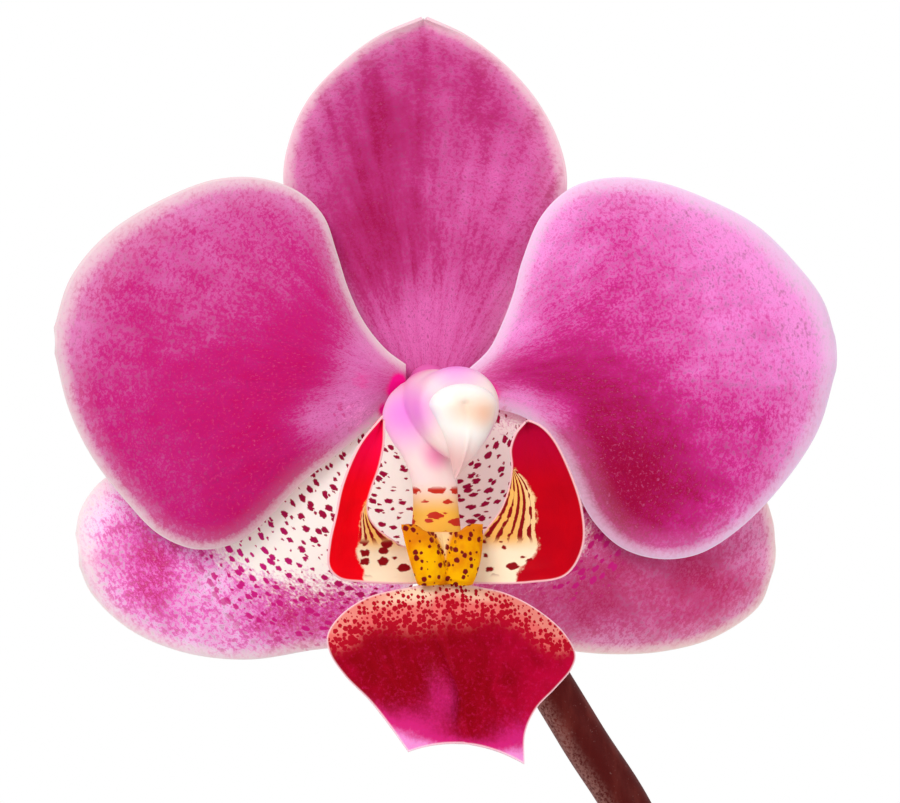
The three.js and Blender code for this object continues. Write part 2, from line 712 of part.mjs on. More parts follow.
// ---------------------------------------------------------------- the whole plant

const orchid = new THREE.Group();
orchid.add(makePot(), makeBark(), ...makeRoots(), ...makeChips());
orchid.add(makeCrown(), ...makeLeaves(), makeSpike());
BRACTS.forEach((bract) => orchid.add(makeBract(bract)));
Object.entries(TEPALS).forEach((entry) => flowerFrame.add(makeTepal(entry)));
flowerFrame.add(makeColumn(), makeCap(), makePollinarium(), makeLip(), makePedicel());
orchid.add(flowerFrame);

export default orchid;
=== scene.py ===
"""The looks of a potted moth orchid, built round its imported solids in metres."""

import logging
import math
from dataclasses import dataclass, field
from enum import Enum

import bpy
import numpy as np
from mathutils import Matrix, Vector, noise

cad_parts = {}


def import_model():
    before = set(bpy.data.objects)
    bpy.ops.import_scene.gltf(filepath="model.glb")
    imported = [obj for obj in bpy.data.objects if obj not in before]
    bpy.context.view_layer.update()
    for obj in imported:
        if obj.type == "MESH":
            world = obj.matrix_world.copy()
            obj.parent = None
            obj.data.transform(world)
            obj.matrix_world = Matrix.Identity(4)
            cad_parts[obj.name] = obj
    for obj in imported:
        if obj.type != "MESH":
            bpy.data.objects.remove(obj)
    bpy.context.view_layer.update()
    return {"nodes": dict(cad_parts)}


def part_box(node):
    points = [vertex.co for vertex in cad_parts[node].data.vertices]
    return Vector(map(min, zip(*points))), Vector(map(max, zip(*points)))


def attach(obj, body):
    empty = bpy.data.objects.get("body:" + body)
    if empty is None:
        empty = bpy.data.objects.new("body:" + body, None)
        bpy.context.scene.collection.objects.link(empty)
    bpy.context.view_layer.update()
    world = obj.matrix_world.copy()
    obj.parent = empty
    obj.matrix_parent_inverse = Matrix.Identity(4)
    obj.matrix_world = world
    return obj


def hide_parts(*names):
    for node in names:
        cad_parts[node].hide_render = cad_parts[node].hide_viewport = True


LOG = logging.getLogger("orchid")
MM = 0.001
KNOT_STEPS = 24
NOISE_SEED = 11
Point = tuple[float, ...]
Colour = tuple[float, float, float]
Object = bpy.types.Object
Material = bpy.types.Material
Socket = bpy.types.NodeSocket
Node = bpy.types.Node
Tree = bpy.types.NodeTree


class Side(Enum):
    """Which side of the flower a piece is on, seen from the front."""

    LEFT = -1
    RIGHT = 1


# ---------------------------------------------------------------- shared frame of the flower


@dataclass(frozen=True)
class FlowerPlace:
    """Where the flower's middle stands, in millimetres, and how far it turns about the upright."""

    x: float = -30.0
    y: float = -18.0
    z: float = 415.0
    yaw: float = 9.0

    def matrix(self) -> Matrix:
        """The flower's own millimetres to the part's metres."""
        turn = Matrix.Rotation(math.radians(self.yaw), 4, "Z")
        return Matrix.Scale(MM, 4) @ Matrix.Translation((self.x, self.y, self.z)) @ turn

    def to_world(self, points: np.ndarray) -> np.ndarray:
        """Points of the flower in millimetres, as points of the part in metres."""
        matrix = np.array(self.matrix())
        return points @ matrix[:3, :3].T + matrix[:3, 3]


PLACE = FlowerPlace()


# ---------------------------------------------------------------- curves and meshes


def evenly(dense: np.ndarray, count: int) -> np.ndarray:
    """Samples spaced evenly along a dense line."""
    travelled = np.concatenate([[0], np.cumsum(np.linalg.norm(np.diff(dense, axis=0), axis=1))])
    wanted = np.linspace(0, travelled[-1], count)
    return np.stack([np.interp(wanted, travelled, dense[:, k]) for k in range(dense.shape[1])], 1)


def smooth_path(points: list[Point], count: int) -> np.ndarray:
    """A smooth curve through the points, as evenly spaced samples.

    Args:
        points: what the curve passes through.
        count: how many samples to return.

    Returns:
        The samples, one row each.
    """
    knots = np.array(points, float)
    ends = np.vstack([2 * knots[0] - knots[1], knots, 2 * knots[-1] - knots[-2]])
    pieces = []
    for i in range(len(knots) - 1):
        p = ends[i : i + 4]
        gaps = np.sqrt(np.linalg.norm(np.diff(p, axis=0), axis=1)) + 1e-9
        when = np.concatenate([[0], np.cumsum(gaps)])
        t = np.linspace(when[1], when[2], KNOT_STEPS, endpoint=False)[:, None]
        a = [
            (when[k + 1] - t) / gaps[k] * p[k] + (t - when[k]) / gaps[k] * p[k + 1]
            for k in range(3)
        ]
        b = [
            (when[k + 2] - t) / (when[k + 2] - when[k]) * a[k]
            + (t - when[k]) / (when[k + 2] - when[k]) * a[k + 1]
            for k in range(2)
        ]
        pieces.append((when[2] - t) / gaps[1] * b[0] + (t - when[1]) / gaps[1] * b[1])
    return evenly(np.vstack([*pieces, knots[-1:]]), count)


def smoothstep(low: float, high: float, value: np.ndarray) -> np.ndarray:
    """Zero below low, one above high, and a smooth ramp between."""
    t = np.clip((value - low) / (high - low), 0, 1)
    return t * t * (3 - 2 * t)


def bell(value: np.ndarray, width: float | np.ndarray, middle: float = 0.0) -> np.ndarray:
    """One at the middle, fading smoothly to nothing well past the width."""
    return np.exp(-(((value - middle) / width) ** 2))


def shares(rows: int, columns: int) -> tuple[np.ndarray, np.ndarray]:
    """How far across and how far along a sheet its points are, 0 to 1."""
    return np.linspace(0, 1, columns + 1)[None, :], np.linspace(0, 1, rows + 1)[:, None]


def turns(sides: int) -> np.ndarray:
    """The angles of the points round a ring, with the first repeated at the end."""
    return np.linspace(0, 2 * math.pi, sides + 1)


def polar(radius: float, angle: float) -> tuple[float, float]:
    """A point on a circle, as (x, y)."""
    return radius * math.cos(angle), radius * math.sin(angle)


def rippled(x: np.ndarray, y: np.ndarray, scale: float, seed: float) -> np.ndarray:
    """Smooth noise over a sheet's points."""
    spots = zip((x * scale).ravel(), (y * scale).ravel(), strict=True)
    return np.array([noise.noise(Vector((a, b, seed))) for a, b in spots]).reshape(x.shape)


def bark_top() -> float:
    """How high the bark reaches in millimetres, from the frame."""
    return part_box("potting_bark")[1].z / MM


def deselect() -> None:
    """Leaves nothing selected."""
    for obj in bpy.context.selected_objects:
        obj.select_set(False)


def activate(obj: Object) -> None:
    """Selects this object alone and makes it the active one."""
    deselect()
    obj.select_set(True)
    bpy.context.view_layer.objects.active = obj


def new_grid(name: str, surface: np.ndarray) -> Object:
    """A grid primitive whose vertices are moved onto a surface.

    Args:
        name: the piece's name.
        surface: points in metres, shaped (rows + 1, columns + 1, 3).

    Returns:
        The new mesh object, with a UV map that runs 0 to 1 across and along it.
    """
    rows, columns = surface.shape[0] - 1, surface.shape[1] - 1
    deselect()
    bpy.ops.mesh.primitive_grid_add(x_subdivisions=columns, y_subdivisions=rows, size=1)
    obj = bpy.context.object
    obj.name = obj.data.name = name
    flat = np.zeros(len(obj.data.vertices) * 3)
    obj.data.vertices.foreach_get("co", flat)
    spots = flat.reshape(-1, 3)
    i = np.rint((spots[:, 0] + 0.5) * columns).astype(int)
    j = np.rint((spots[:, 1] + 0.5) * rows).astype(int)
    obj.data.vertices.foreach_set("co", surface[j, i].ravel())
    obj.data.update()
    return obj


def set_attribute(obj: Object, name: str, values: np.ndarray) -> None:
    """Stores one number for each point of a grid made by new_grid, shaped as its surface."""
    rows, columns = values.shape[0] - 1, values.shape[1] - 1
    uv = np.zeros((len(obj.data.loops), 2))
    obj.data.uv_layers.active.data.foreach_get("uv", uv.reshape(-1))
    corner = np.zeros(len(obj.data.loops), int)
    obj.data.loops.foreach_get("vertex_index", corner)
    found = np.zeros(len(obj.data.vertices))
    i = np.rint(uv[:, 0] * columns).astype(int)
    j = np.rint(uv[:, 1] * rows).astype(int)
    found[corner] = values[j, i]
    layer = obj.data.attributes.new(name, "FLOAT", "POINT")
    layer.data.foreach_set("value", found)


def set_attributes(obj: Object, numbers: dict[str, np.ndarray]) -> None:
    """Stores several such sets of numbers by name."""
    for key, values in numbers.items():
        set_attribute(obj, key, values)


def join_vector(obj: Object, name: str, first: str, second: str) -> None:
    """Joins two number attributes into one vector attribute."""
    data = obj.data
    values = np.zeros((len(data.vertices), 3))
    column = np.zeros(len(data.vertices))
    for k, key in enumerate((first, second)):
        data.attributes[key].data.foreach_get("value", column)
        values[:, k] = column
        data.attributes.remove(data.attributes[key])
    layer = data.attributes.new(name, "FLOAT_VECTOR", "POINT")
    layer.data.foreach_set("vector", values.ravel())


def close_mesh(obj: Object, distance: float = 1e-6) -> None:
    """Merges the doubled points of a wrapped grid and turns its faces outwards."""
    activate(obj)
    bpy.ops.object.mode_set(mode="EDIT")
    bpy.ops.mesh.select_all(action="SELECT")
    bpy.ops.mesh.remove_doubles(threshold=distance)
    bpy.ops.mesh.normals_make_consistent(inside=False)
    bpy.ops.object.mode_set(mode="OBJECT")


def apply_modifier(obj: Object, kind: str, **settings: object) -> None:
    """Adds one modifier with its settings and applies it."""
    activate(obj)
    modifier = obj.modifiers.new(kind.title(), kind)
    for key, value in settings.items():
        setattr(modifier, key, value)
    bpy.ops.object.modifier_apply(modifier=modifier.name)


def round_edges(obj: Object, width: float, segments: int, **settings: object) -> None:
    """Rounds the sharp edges by a width in millimetres."""
    apply_modifier(obj, "BEVEL", width=width * MM, segments=segments, limit_method="ANGLE", **settings)


def coated(obj: Object, finish: Material, angle: float) -> Object:
    """Gives a piece its material, and smooths its shading over edges flatter than the angle in degrees."""
    obj.data.materials.append(finish)
    activate(obj)
    bpy.ops.object.shade_smooth_by_angle(angle=math.radians(angle))
    deselect()
    return obj


def placed(obj: Object, slot: str, *nodes: str) -> Object:
    """Rides a finished piece on the part, and hides the part's nodes that it stands for."""
    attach(obj, "root")
    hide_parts(*nodes)
    return obj


def dressed(obj: Object, finish: Material, angle: float, slot: str, *nodes: str) -> Object:
    """Coats a piece and places it."""
    return placed(coated(obj, finish, angle), slot, *nodes)


def thicken(obj: Object, weights: np.ndarray, thickness: float, offset: float = 0.0) -> None:
    """Gives a sheet its thickness, in millimetres, thinner where the weights are low."""
    set_attribute(obj, "solid_weight", weights)
    group = obj.vertex_groups.new(name="body")
    layer = obj.data.attributes["solid_weight"]
    for index, item in enumerate(layer.data):
        group.add([index], item.value, "REPLACE")
    apply_modifier(
        obj,
        "SOLIDIFY",
        thickness=thickness * MM,
        offset=offset,
        vertex_group="body",
        thickness_vertex_group=0.15,
        use_quality_normals=True,
    )
    obj.data.attributes.remove(obj.data.attributes["solid_weight"])


def closed_grid(name: str, surface: np.ndarray) -> Object:
    """A grid wrapped onto a closed surface, with its seams merged."""
    obj = new_grid(name, surface)
    close_mesh(obj)
    return obj


def cut_cube(cuts: int) -> Object:
    """A cube of side one, with its faces cut up."""
    deselect()
    bpy.ops.mesh.primitive_cube_add(size=1)
    obj = bpy.context.object
    bpy.ops.object.mode_set(mode="EDIT")
    bpy.ops.mesh.subdivide(number_cuts=cuts)
    bpy.ops.object.mode_set(mode="OBJECT")
    return obj


def joined(name: str, pieces: list[Object]) -> Object:
    """Joins meshes into the first one."""
    deselect()
    for piece in pieces:
        piece.select_set(True)
    bpy.context.view_layer.objects.active = pieces[0]
    bpy.ops.object.join()
    obj = bpy.context.object
    obj.name = obj.data.name = name
    deselect()
    return obj


def loft(first: list[Point], second: list[Point], rows: int, columns: int) -> np.ndarray:
    """A ruled sheet between two edges, shaped (rows + 1, columns + 1) and the points' own length."""
    a, b = smooth_path(first, rows + 1), smooth_path(second, rows + 1)
    s = np.linspace(0, 1, columns + 1)[None, :, None]
    return a[:, None, :] * (1 - s) + b[:, None, :] * s


def edge_distance(points: np.ndarray, line: np.ndarray, signed: bool = False) -> np.ndarray:
    """How far each point of a sheet is from a line of samples.

    Args:
        points: the sheet, with its points in the last axis.
        line: the samples, one row each.
        signed: whether points on the right of a flat line count as negative.

    Returns:
        The distances, shaped as the sheet.
    """
    flat = points.reshape(-1, points.shape[-1])
    nearest, sign = np.full(len(flat), 1e3), np.ones(len(flat))
    for start, end in zip(line[:-1], line[1:], strict=True):
        run, away = end - start, flat - start
        share = np.clip((away @ run) / (run @ run + 1e-12), 0, 1)
        apart = np.linalg.norm(away - share[:, None] * run, axis=1)
        closer = apart < nearest
        if signed:
            sign = np.where(closer, np.sign(run[0] * away[:, 1] - run[1] * away[:, 0]), sign)
        nearest = np.where(closer, apart, nearest)
    return (nearest * sign).reshape(points.shape[:2])


def edge_margin(sheet: np.ndarray) -> np.ndarray:
    """How far each point of a sheet is from its two long edges and its tip."""
    return edge_distance(sheet, np.vstack([sheet[:, 0], sheet[-1], sheet[::-1, -1]]))


def tube_surface(path: np.ndarray, radii: np.ndarray, sides: int, up: Vector) -> np.ndarray:
    """Rings of points round a path, drawn to a point at each end.

    Args:
        path: the middle line's samples.
        radii: one radius per sample.
        sides: points round each ring; the first is repeated at the end.
        up: a direction that the first ring starts from.

    Returns:
        Points shaped (samples + 2 domed ends, sides + 1, 3).
    """
    forward = np.gradient(path, axis=0)
    forward /= np.linalg.norm(forward, axis=1)[:, None]
    normal = np.array(up, float)
    rings = []
    angles = turns(sides)
    blunt = 0.8
    dome = [(0.0, 1.0), (0.38, 0.92), (0.71, 0.71)]
    for k, centre in enumerate(path):
        normal = normal - forward[k] * normal.dot(forward[k])
        normal /= np.linalg.norm(normal)
        other = np.cross(forward[k], normal)
        ring = np.cos(angles)[:, None] * normal + np.sin(angles)[:, None] * other
        if k == 0:
            rings += [
                centre - forward[k] * radii[k] * out * blunt + ring * radii[k] * share
                for share, out in dome
            ]
        rings.append(centre + ring * radii[k])
        if k == len(path) - 1:
            rings += [
                centre + forward[k] * radii[k] * out * blunt + ring * radii[k] * share
                for share, out in reversed(dome)
            ]
    return np.array(rings)


def tube(name: str, path: np.ndarray, radii: np.ndarray, sides: int = 32) -> Object:
    """A closed round rod along a path, all in metres."""
    return closed_grid(name, tube_surface(path, radii, sides, Vector((0, 1, 0.1))))


# ---------------------------------------------------------------- shader helpers


def srgb(red: int, green: int, blue: int) -> tuple[float, float, float, float]:
    """A colour given as on a screen, 0 to 255, as linear light."""

    def linear(value: int) -> float:
        share = value / 255
        return share / 12.92 if share <= 0.04045 else ((share + 0.055) / 1.055) ** 2.4

    return (linear(red), linear(green), linear(blue), 1.0)


Feed = object


class Shader:
    """Adds and links the nodes of one material or one node group."""

    def __init__(self, tree: Tree) -> None:
        """Starts from a node tree."""
        self.tree = tree

    def add(self, kind: str, feeds: dict | None = None, **settings: object) -> Node:
        """Adds a node.

        Args:
            kind: the node's type, without the leading ShaderNode.
            feeds: each input's name or number, and the value or socket that feeds it.
            settings: the node's own properties.

        Returns:
            The node.
        """
        node = self.tree.nodes.new("ShaderNode" + kind)
        for key, value in settings.items():
            setattr(node, key, value)
        for key, value in (feeds or {}).items():
            self.feed(node.inputs[key], value)
        return node

    def feed(self, socket: Socket, value: Feed) -> None:
        """Links a socket, or sets its plain value."""
        if isinstance(value, Socket):
            self.tree.links.new(value, socket)
        else:
            socket.default_value = value

    def maths(self, operation: str, *values: Feed) -> Socket:
        """One step of arithmetic."""
        feeds = dict(enumerate(values))
        return self.add("Math", feeds, operation=operation).outputs[0]

    def plus(self, first: Feed, second: Feed, share: float = 1.0) -> Socket:
        """The sum of a number and a share of a second one."""
        scaled = second if share == 1.0 else self.times(second, share)
        return self.maths("ADD", first, scaled)

    def times(self, first: Feed, second: Feed) -> Socket:
        """The product of two numbers."""
        return self.maths("MULTIPLY", first, second)

    def sway(self, value: Feed, amount: Feed) -> Socket:
        """A cloudy value turned into a swing about nought."""
        return self.times(self.maths("SUBTRACT", value, 0.5), amount)

    def apart(self, value: Feed, middle: float) -> Socket:
        """How far a number is from a middle one."""
        return self.maths("ABSOLUTE", self.maths("SUBTRACT", value, middle))

    def axis(self, vector: Feed, number: int) -> Socket:
        """One of a vector's three numbers."""
        return self.add("SeparateXYZ", {0: vector}).outputs[number]

    def ramp(self, value: Feed, low: Feed, high: Feed, start: float = 0.0, end: float = 1.0) -> Socket:
        """A smooth climb from start to end as the value goes from low to high."""
        feeds = {"Value": value, "From Min": low, "From Max": high, "To Min": start, "To Max": end}
        return self.add("MapRange", feeds, interpolation_type="SMOOTHSTEP").outputs[0]

    def blend(self, factor: Feed, first: Feed, second: Feed, way: str = "MIX") -> Socket:
        """Mixes two colours."""
        node = self.add("Mix", {"Factor": factor}, data_type="RGBA", blend_type=way)
        self.feed(node.inputs[6], first)
        self.feed(node.inputs[7], second)
        return node.outputs[2]

    def noise(self, vector: Feed, scale: Feed, detail: float = 2.0, rough: float = 0.5) -> Socket:
        """A cloudy value of about 0 to 1."""
        feeds = {"Vector": vector, "Scale": scale, "Detail": detail, "Roughness": rough}
        return self.add("TexNoise", feeds).outputs[0]

    def stretched(
        self, vector: Feed, scale: Point, turn: Point = (0, 0, 0), shift: Point = (0, 0, 0)
    ) -> Socket:
        """Coordinates scaled, turned in degrees, and moved."""
        turned = tuple(math.radians(angle) for angle in turn)
        feeds = {"Vector": vector, "Scale": scale, "Rotation": turned, "Location": shift}
        return self.add("Mapping", feeds).outputs[0]

    def jittered(self, vector: Feed, scale: float, amount: Feed) -> Socket:
        """Coordinates pushed about by a cloudy pattern."""
        cloud = self.add("TexNoise", {"Vector": vector, "Scale": scale, "Detail": 1.0}).outputs[1]
        centred = self.add("VectorMath", {0: cloud, 1: (0.5, 0.5, 0.5)}, operation="SUBTRACT").outputs[0]
        pushed = self.add("VectorMath", {0: centred, "Scale": amount}, operation="SCALE").outputs[0]
        return self.add("VectorMath", {0: vector, 1: pushed}, operation="ADD").outputs[0]

    def group(self, group: Tree, feeds: dict[str, Feed]) -> Node:
        """Places a shared node group."""
        node = self.tree.nodes.new("ShaderNodeGroup")
        node.node_tree = group
        for key, value in feeds.items():
            self.feed(node.inputs[key], value)
        return node


def new_group(name: str, inputs: dict[str, str], outputs: dict[str, str]) -> tuple[Shader, dict, Node]:
    """Starts a shared node group.

    Args:
        name: the group's name.
        inputs: socket names and their kinds: Float, Vector or Color.
        outputs: the same for what it puts out.

    Returns:
        The group's node maker, its inputs by name, and its output node.
    """
    tree = bpy.data.node_groups.new(name, "ShaderNodeTree")
    for key, kind in inputs.items():
        tree.interface.new_socket(key, in_out="INPUT", socket_type="NodeSocket" + kind)
    for key, kind in outputs.items():
        tree.interface.new_socket(key, in_out="OUTPUT", socket_type="NodeSocket" + kind)
    start = tree.nodes.new("NodeGroupInput")
    end = tree.nodes.new("NodeGroupOutput")
    return Shader(tree), {key: start.outputs[key] for key in inputs}, end


# ---------------------------------------------------------------- shared patterns


def millimetres(shader: Shader, local: bool = True) -> Socket:
    """Object coordinates in millimetres, in the flower's own frame where local is set."""
    place = shader.add("TexCoord").outputs["Object"]
    if not local:
        return shader.stretched(place, (1 / MM,) * 3)
    moved = shader.stretched(place, (1 / MM,) * 3, shift=(-PLACE.x, -PLACE.y, -PLACE.z))
    return shader.stretched(moved, (1, 1, 1), turn=(0, 0, -PLACE.yaw))


def make_wash_group() -> Tree:
    """A soft round patch about a centre, one in the middle and nothing past its radius."""
    shader, given, end = new_group(
        "SoftWash", {"Vector": "Vector", "Centre": "Vector", "Radius": "Float"}, {"Mask": "Float"}
    )
    feeds = {0: given["Vector"], 1: given["Centre"]}
    apart = shader.add("VectorMath", feeds, operation="DISTANCE").outputs["Value"]
    shader.feed(end.inputs["Mask"], shader.ramp(apart, 0.0, given["Radius"], 1.0, 0.0))
    return shader.tree


def make_fleck_group() -> Tree:
    """Scattered rounded flecks of uneven size, given coordinates with one fleck to a unit."""
    shader, given, end = new_group(
        "Flecks", {"Vector": "Vector", "Size": "Float", "Wobble": "Float"}, {"Mask": "Float"}
    )
    spot = shader.jittered(given["Vector"], 3.0, given["Wobble"])
    cells = shader.add(
        "TexVoronoi", {"Vector": spot, "Scale": 1.0, "Randomness": 0.85}, voronoi_dimensions="2D"
    )
    chance = shader.add("SeparateColor", {0: cells.outputs["Color"]}).outputs[0]
    radius = shader.times(given["Size"], shader.ramp(chance, 0.0, 1.0, 0.45, 1.25))
    inner = shader.maths("SUBTRACT", radius, 0.09)
    shader.feed(end.inputs["Mask"], shader.ramp(cells.outputs["Distance"], inner, radius, 1.0, 0.0))
    return shader.tree


def make_tissue_group() -> Tree:
    """Living petal tissue: grain and veins in three tones, pale towards its margin."""
    colours = {key: "Color" for key in ("Light", "Mid", "Deep", "Edge")}
    numbers = {key: "Float" for key in ("Tone", "Margin", "EdgeWidth", "Grain", "Streak")}
    shader, given, end = new_group(
        "PetalTissue",
        {"Fan": "Vector", "Place": "Vector", **numbers, **colours},
        {"Color": "Color", "Height": "Float", "Edge": "Float"},
    )
    fine = shader.noise(shader.stretched(given["Fan"], (1.0, 0.6, 1.0)), 3.4, 4.0, 0.75)
    coarse = shader.noise(shader.stretched(given["Fan"], (1.0, 0.42, 1.0)), 0.75, 3.0, 0.6)
    cloud = shader.noise(given["Place"], 0.16, 2.0, 0.5)
    vein = shader.noise(shader.stretched(given["Fan"], (1.0, 0.05, 1.0)), 0.85, 2.0, 0.6)
    grain = shader.sway(fine, given["Grain"])
    patch = shader.sway(coarse, given["Grain"])
    patch = shader.times(patch, 0.25)
    streak = shader.sway(vein, given["Streak"])
    drift = shader.sway(cloud, 0.35)
    ragged = shader.plus(given["Margin"], grain, 0.5)
    ragged = shader.plus(ragged, streak, 0.8)
    fading = shader.times(given["EdgeWidth"], 2.2)
    faded = shader.ramp(ragged, 0.0, fading, -0.26, 0.0)
    tone = given["Tone"]
    for part in (grain, patch, streak, drift, faded):
        tone = shader.plus(tone, part)
    low = shader.blend(shader.times(tone, 2.0), given["Light"], given["Mid"])
    high = shader.maths("SUBTRACT", shader.times(tone, 2.0), 1.0)
    body = shader.blend(high, low, given["Deep"])
    shadow = shader.blend(1.0, given["Deep"], (0.66, 0.5, 0.6, 1.0), "MULTIPLY")
    furrows = shader.plus(shader.times(fine, 0.8), vein, 0.2)
    body = shader.blend(shader.ramp(furrows, 0.34, 0.52, 0.6, 0.0), body, shadow)
    body = shader.blend(shader.ramp(fine, 0.52, 0.72, 0.0, 0.3), body, given["Light"])
    edge = shader.ramp(ragged, 0.0, given["EdgeWidth"], 0.78, 0.0)
    edge = shader.maths("MAXIMUM", edge, shader.ramp(given["Margin"], 0.1, 0.42, 0.92, 0.0))
    edge = shader.maths("MAXIMUM", edge, shader.ramp(ragged, 0.0, fading, 0.14, 0.0))
    shader.feed(end.inputs["Color"], shader.blend(edge, body, given["Edge"]))
    relief = shader.plus(shader.times(coarse, 0.6), fine, 0.5)
    relief = shader.plus(relief, vein, 0.9)
    shader.feed(end.inputs["Height"], relief)
    shader.feed(end.inputs["Edge"], edge)
    return shader.tree


@dataclass
class Patterns:
    """The node groups that the materials share."""

    wash: Tree = field(default_factory=make_wash_group)
    flecks: Tree = field(default_factory=make_fleck_group)
    tissue: Tree = field(default_factory=make_tissue_group)

    def flecked(self, shader: Shader, place: Feed, scale: Point, size: Feed, wobble: float) -> Socket:
        """Flecks scattered over the flower's face, from its millimetres scaled."""
        face = shader.stretched(place, scale, turn=(90, 0, 0))
        return shader.group(self.flecks, {"Vector": face, "Size": size, "Wobble": wobble}).outputs[0]

    def patched(self, shader: Shader, place: Feed, colour: Feed, patches: tuple) -> Feed:
        """Lays soft patches over a colour, each one a centre, a radius, a tint and a strength."""
        for centre, radius, tint, strength in patches:
            feeds = {"Vector": place, "Centre": centre, "Radius": radius}
            mask = shader.group(self.wash, feeds).outputs[0]
            colour = shader.blend(shader.times(mask, strength), colour, tint)
        return colour


@dataclass(frozen=True)
class Surface:
    """How a finish takes the light."""

    roughness: float = 0.5
    subsurface: float = 0.0
    radius: Colour = (0.9, 0.35, 0.5)
    depth: float = 0.6
    specular: float = 0.5
    bump: float = 0.2
    bump_depth: float = 0.05
    coat: float = 0.0


class Skin(Shader):
    """The nodes of one material, from its plain values to its colour and fine relief."""

    def __init__(self, name: str, surface: Surface) -> None:
        """Starts a material with its shader's plain values set."""
        self.material = bpy.data.materials.new(name)
        self.material.use_nodes = True
        super().__init__(self.material.node_tree)
        self.main = self.tree.nodes["Principled BSDF"]
        self.surface = surface
        plain = {
            "Roughness": surface.roughness,
            "Specular IOR Level": surface.specular,
            "Coat Weight": surface.coat,
            "Subsurface Weight": surface.subsurface,
            "Subsurface Radius": surface.radius,
            "Subsurface Scale": surface.depth * MM,
        }
        for key, value in plain.items():
            self.main.inputs[key].default_value = value

    def finished(self, colour: Feed, height: Feed) -> Material:
        """Feeds the colour and the fine relief into the shader, and gives the material."""
        self.feed(self.main.inputs["Base Color"], colour)
        feeds = {"Strength": self.surface.bump, "Distance": self.surface.bump_depth * MM, "Height": height}
        self.feed(self.main.inputs["Normal"], self.add("Bump", feeds).outputs[0])
        return self.material


def attribute(shader: Shader, name: str, output: str = "Fac") -> Socket:
    """A named attribute of the mesh."""
    return shader.add("Attribute", attribute_name=name).outputs[output]


def uv(shader: Shader) -> Socket:
    """The piece's own UV map."""
    return shader.add("TexCoord").outputs["UV"]


# ---------------------------------------------------------------- sepals and petals


@dataclass(frozen=True)
class Wash:
    """A soft patch of deeper, paler or other colour, in the flower's millimetres."""

    x: float
    z: float
    radius: float
    strength: float


@dataclass(frozen=True)
class TepalFinish:
    """The colours of one sepal or petal."""

    name: str
    light: tuple
    mid: tuple
    deep: tuple
    edge: tuple
    edge_width: float = 2.2
    grain: float = 2.2
    streak: float = 0.45
    ground: tuple = srgb(252, 244, 232)
    fleck: tuple = srgb(158, 10, 60)
    far_fleck: tuple = srgb(206, 30, 130)
    stain: tuple = srgb(238, 10, 140)
    dots: dict[str, float] = field(default_factory=lambda: {"Size": 0.33, "Wobble": 0.42})
    surface: Surface = Surface(roughness=0.6, specular=0.06, subsurface=0.2, bump=0.35, bump_depth=0.06)

    def material(self, patterns: Patterns) -> Material:
        """Builds the material."""
        shader = Skin(self.name, self.surface)
        fan = attribute(shader, "fan", "Vector")
        tissue = shader.group(
            patterns.tissue,
            {
                "Fan": fan,
                "Place": millimetres(shader),
                "Tone": attribute(shader, "tone"),
                "Margin": attribute(shader, "margin"),
                "EdgeWidth": self.edge_width,
                "Grain": self.grain,
                "Streak": self.streak,
                "Light": self.light,
                "Mid": self.mid,
                "Deep": self.deep,
                "Edge": self.edge,
            },
        )
        ragged = shader.sway(shader.noise(fan, 0.9, 3.0), 0.7)
        fretted = shader.sway(shader.noise(fan, 3.4, 2.0, 0.6), 1.1)
        bare = shader.plus(shader.plus(attribute(shader, "ground"), ragged), fretted)
        bare = shader.ramp(bare, 0.3, 0.85)
        colour = shader.blend(bare, tissue.outputs["Color"], self.ground)
        dots = shader.stretched(attribute(shader, "dots", "Vector"), (0.68, 1.1, 1.0))
        flecks = shader.group(patterns.flecks, {"Vector": dots, **self.dots}).outputs[0]
        speckled = shader.times(flecks, shader.ramp(attribute(shader, "flecks"), 0.2, 0.5))
        far = shader.ramp(shader.axis(fan, 1), 18.0, 30.0)
        colour = shader.blend(speckled, colour, shader.blend(far, self.fleck, self.far_fleck))
        stain = shader.plus(attribute(shader, "stain"), ragged, 0.7)
        colour = shader.blend(shader.ramp(stain, 0.2, 0.85), colour, self.stain)
        return shader.finished(colour, tissue.outputs["Height"])


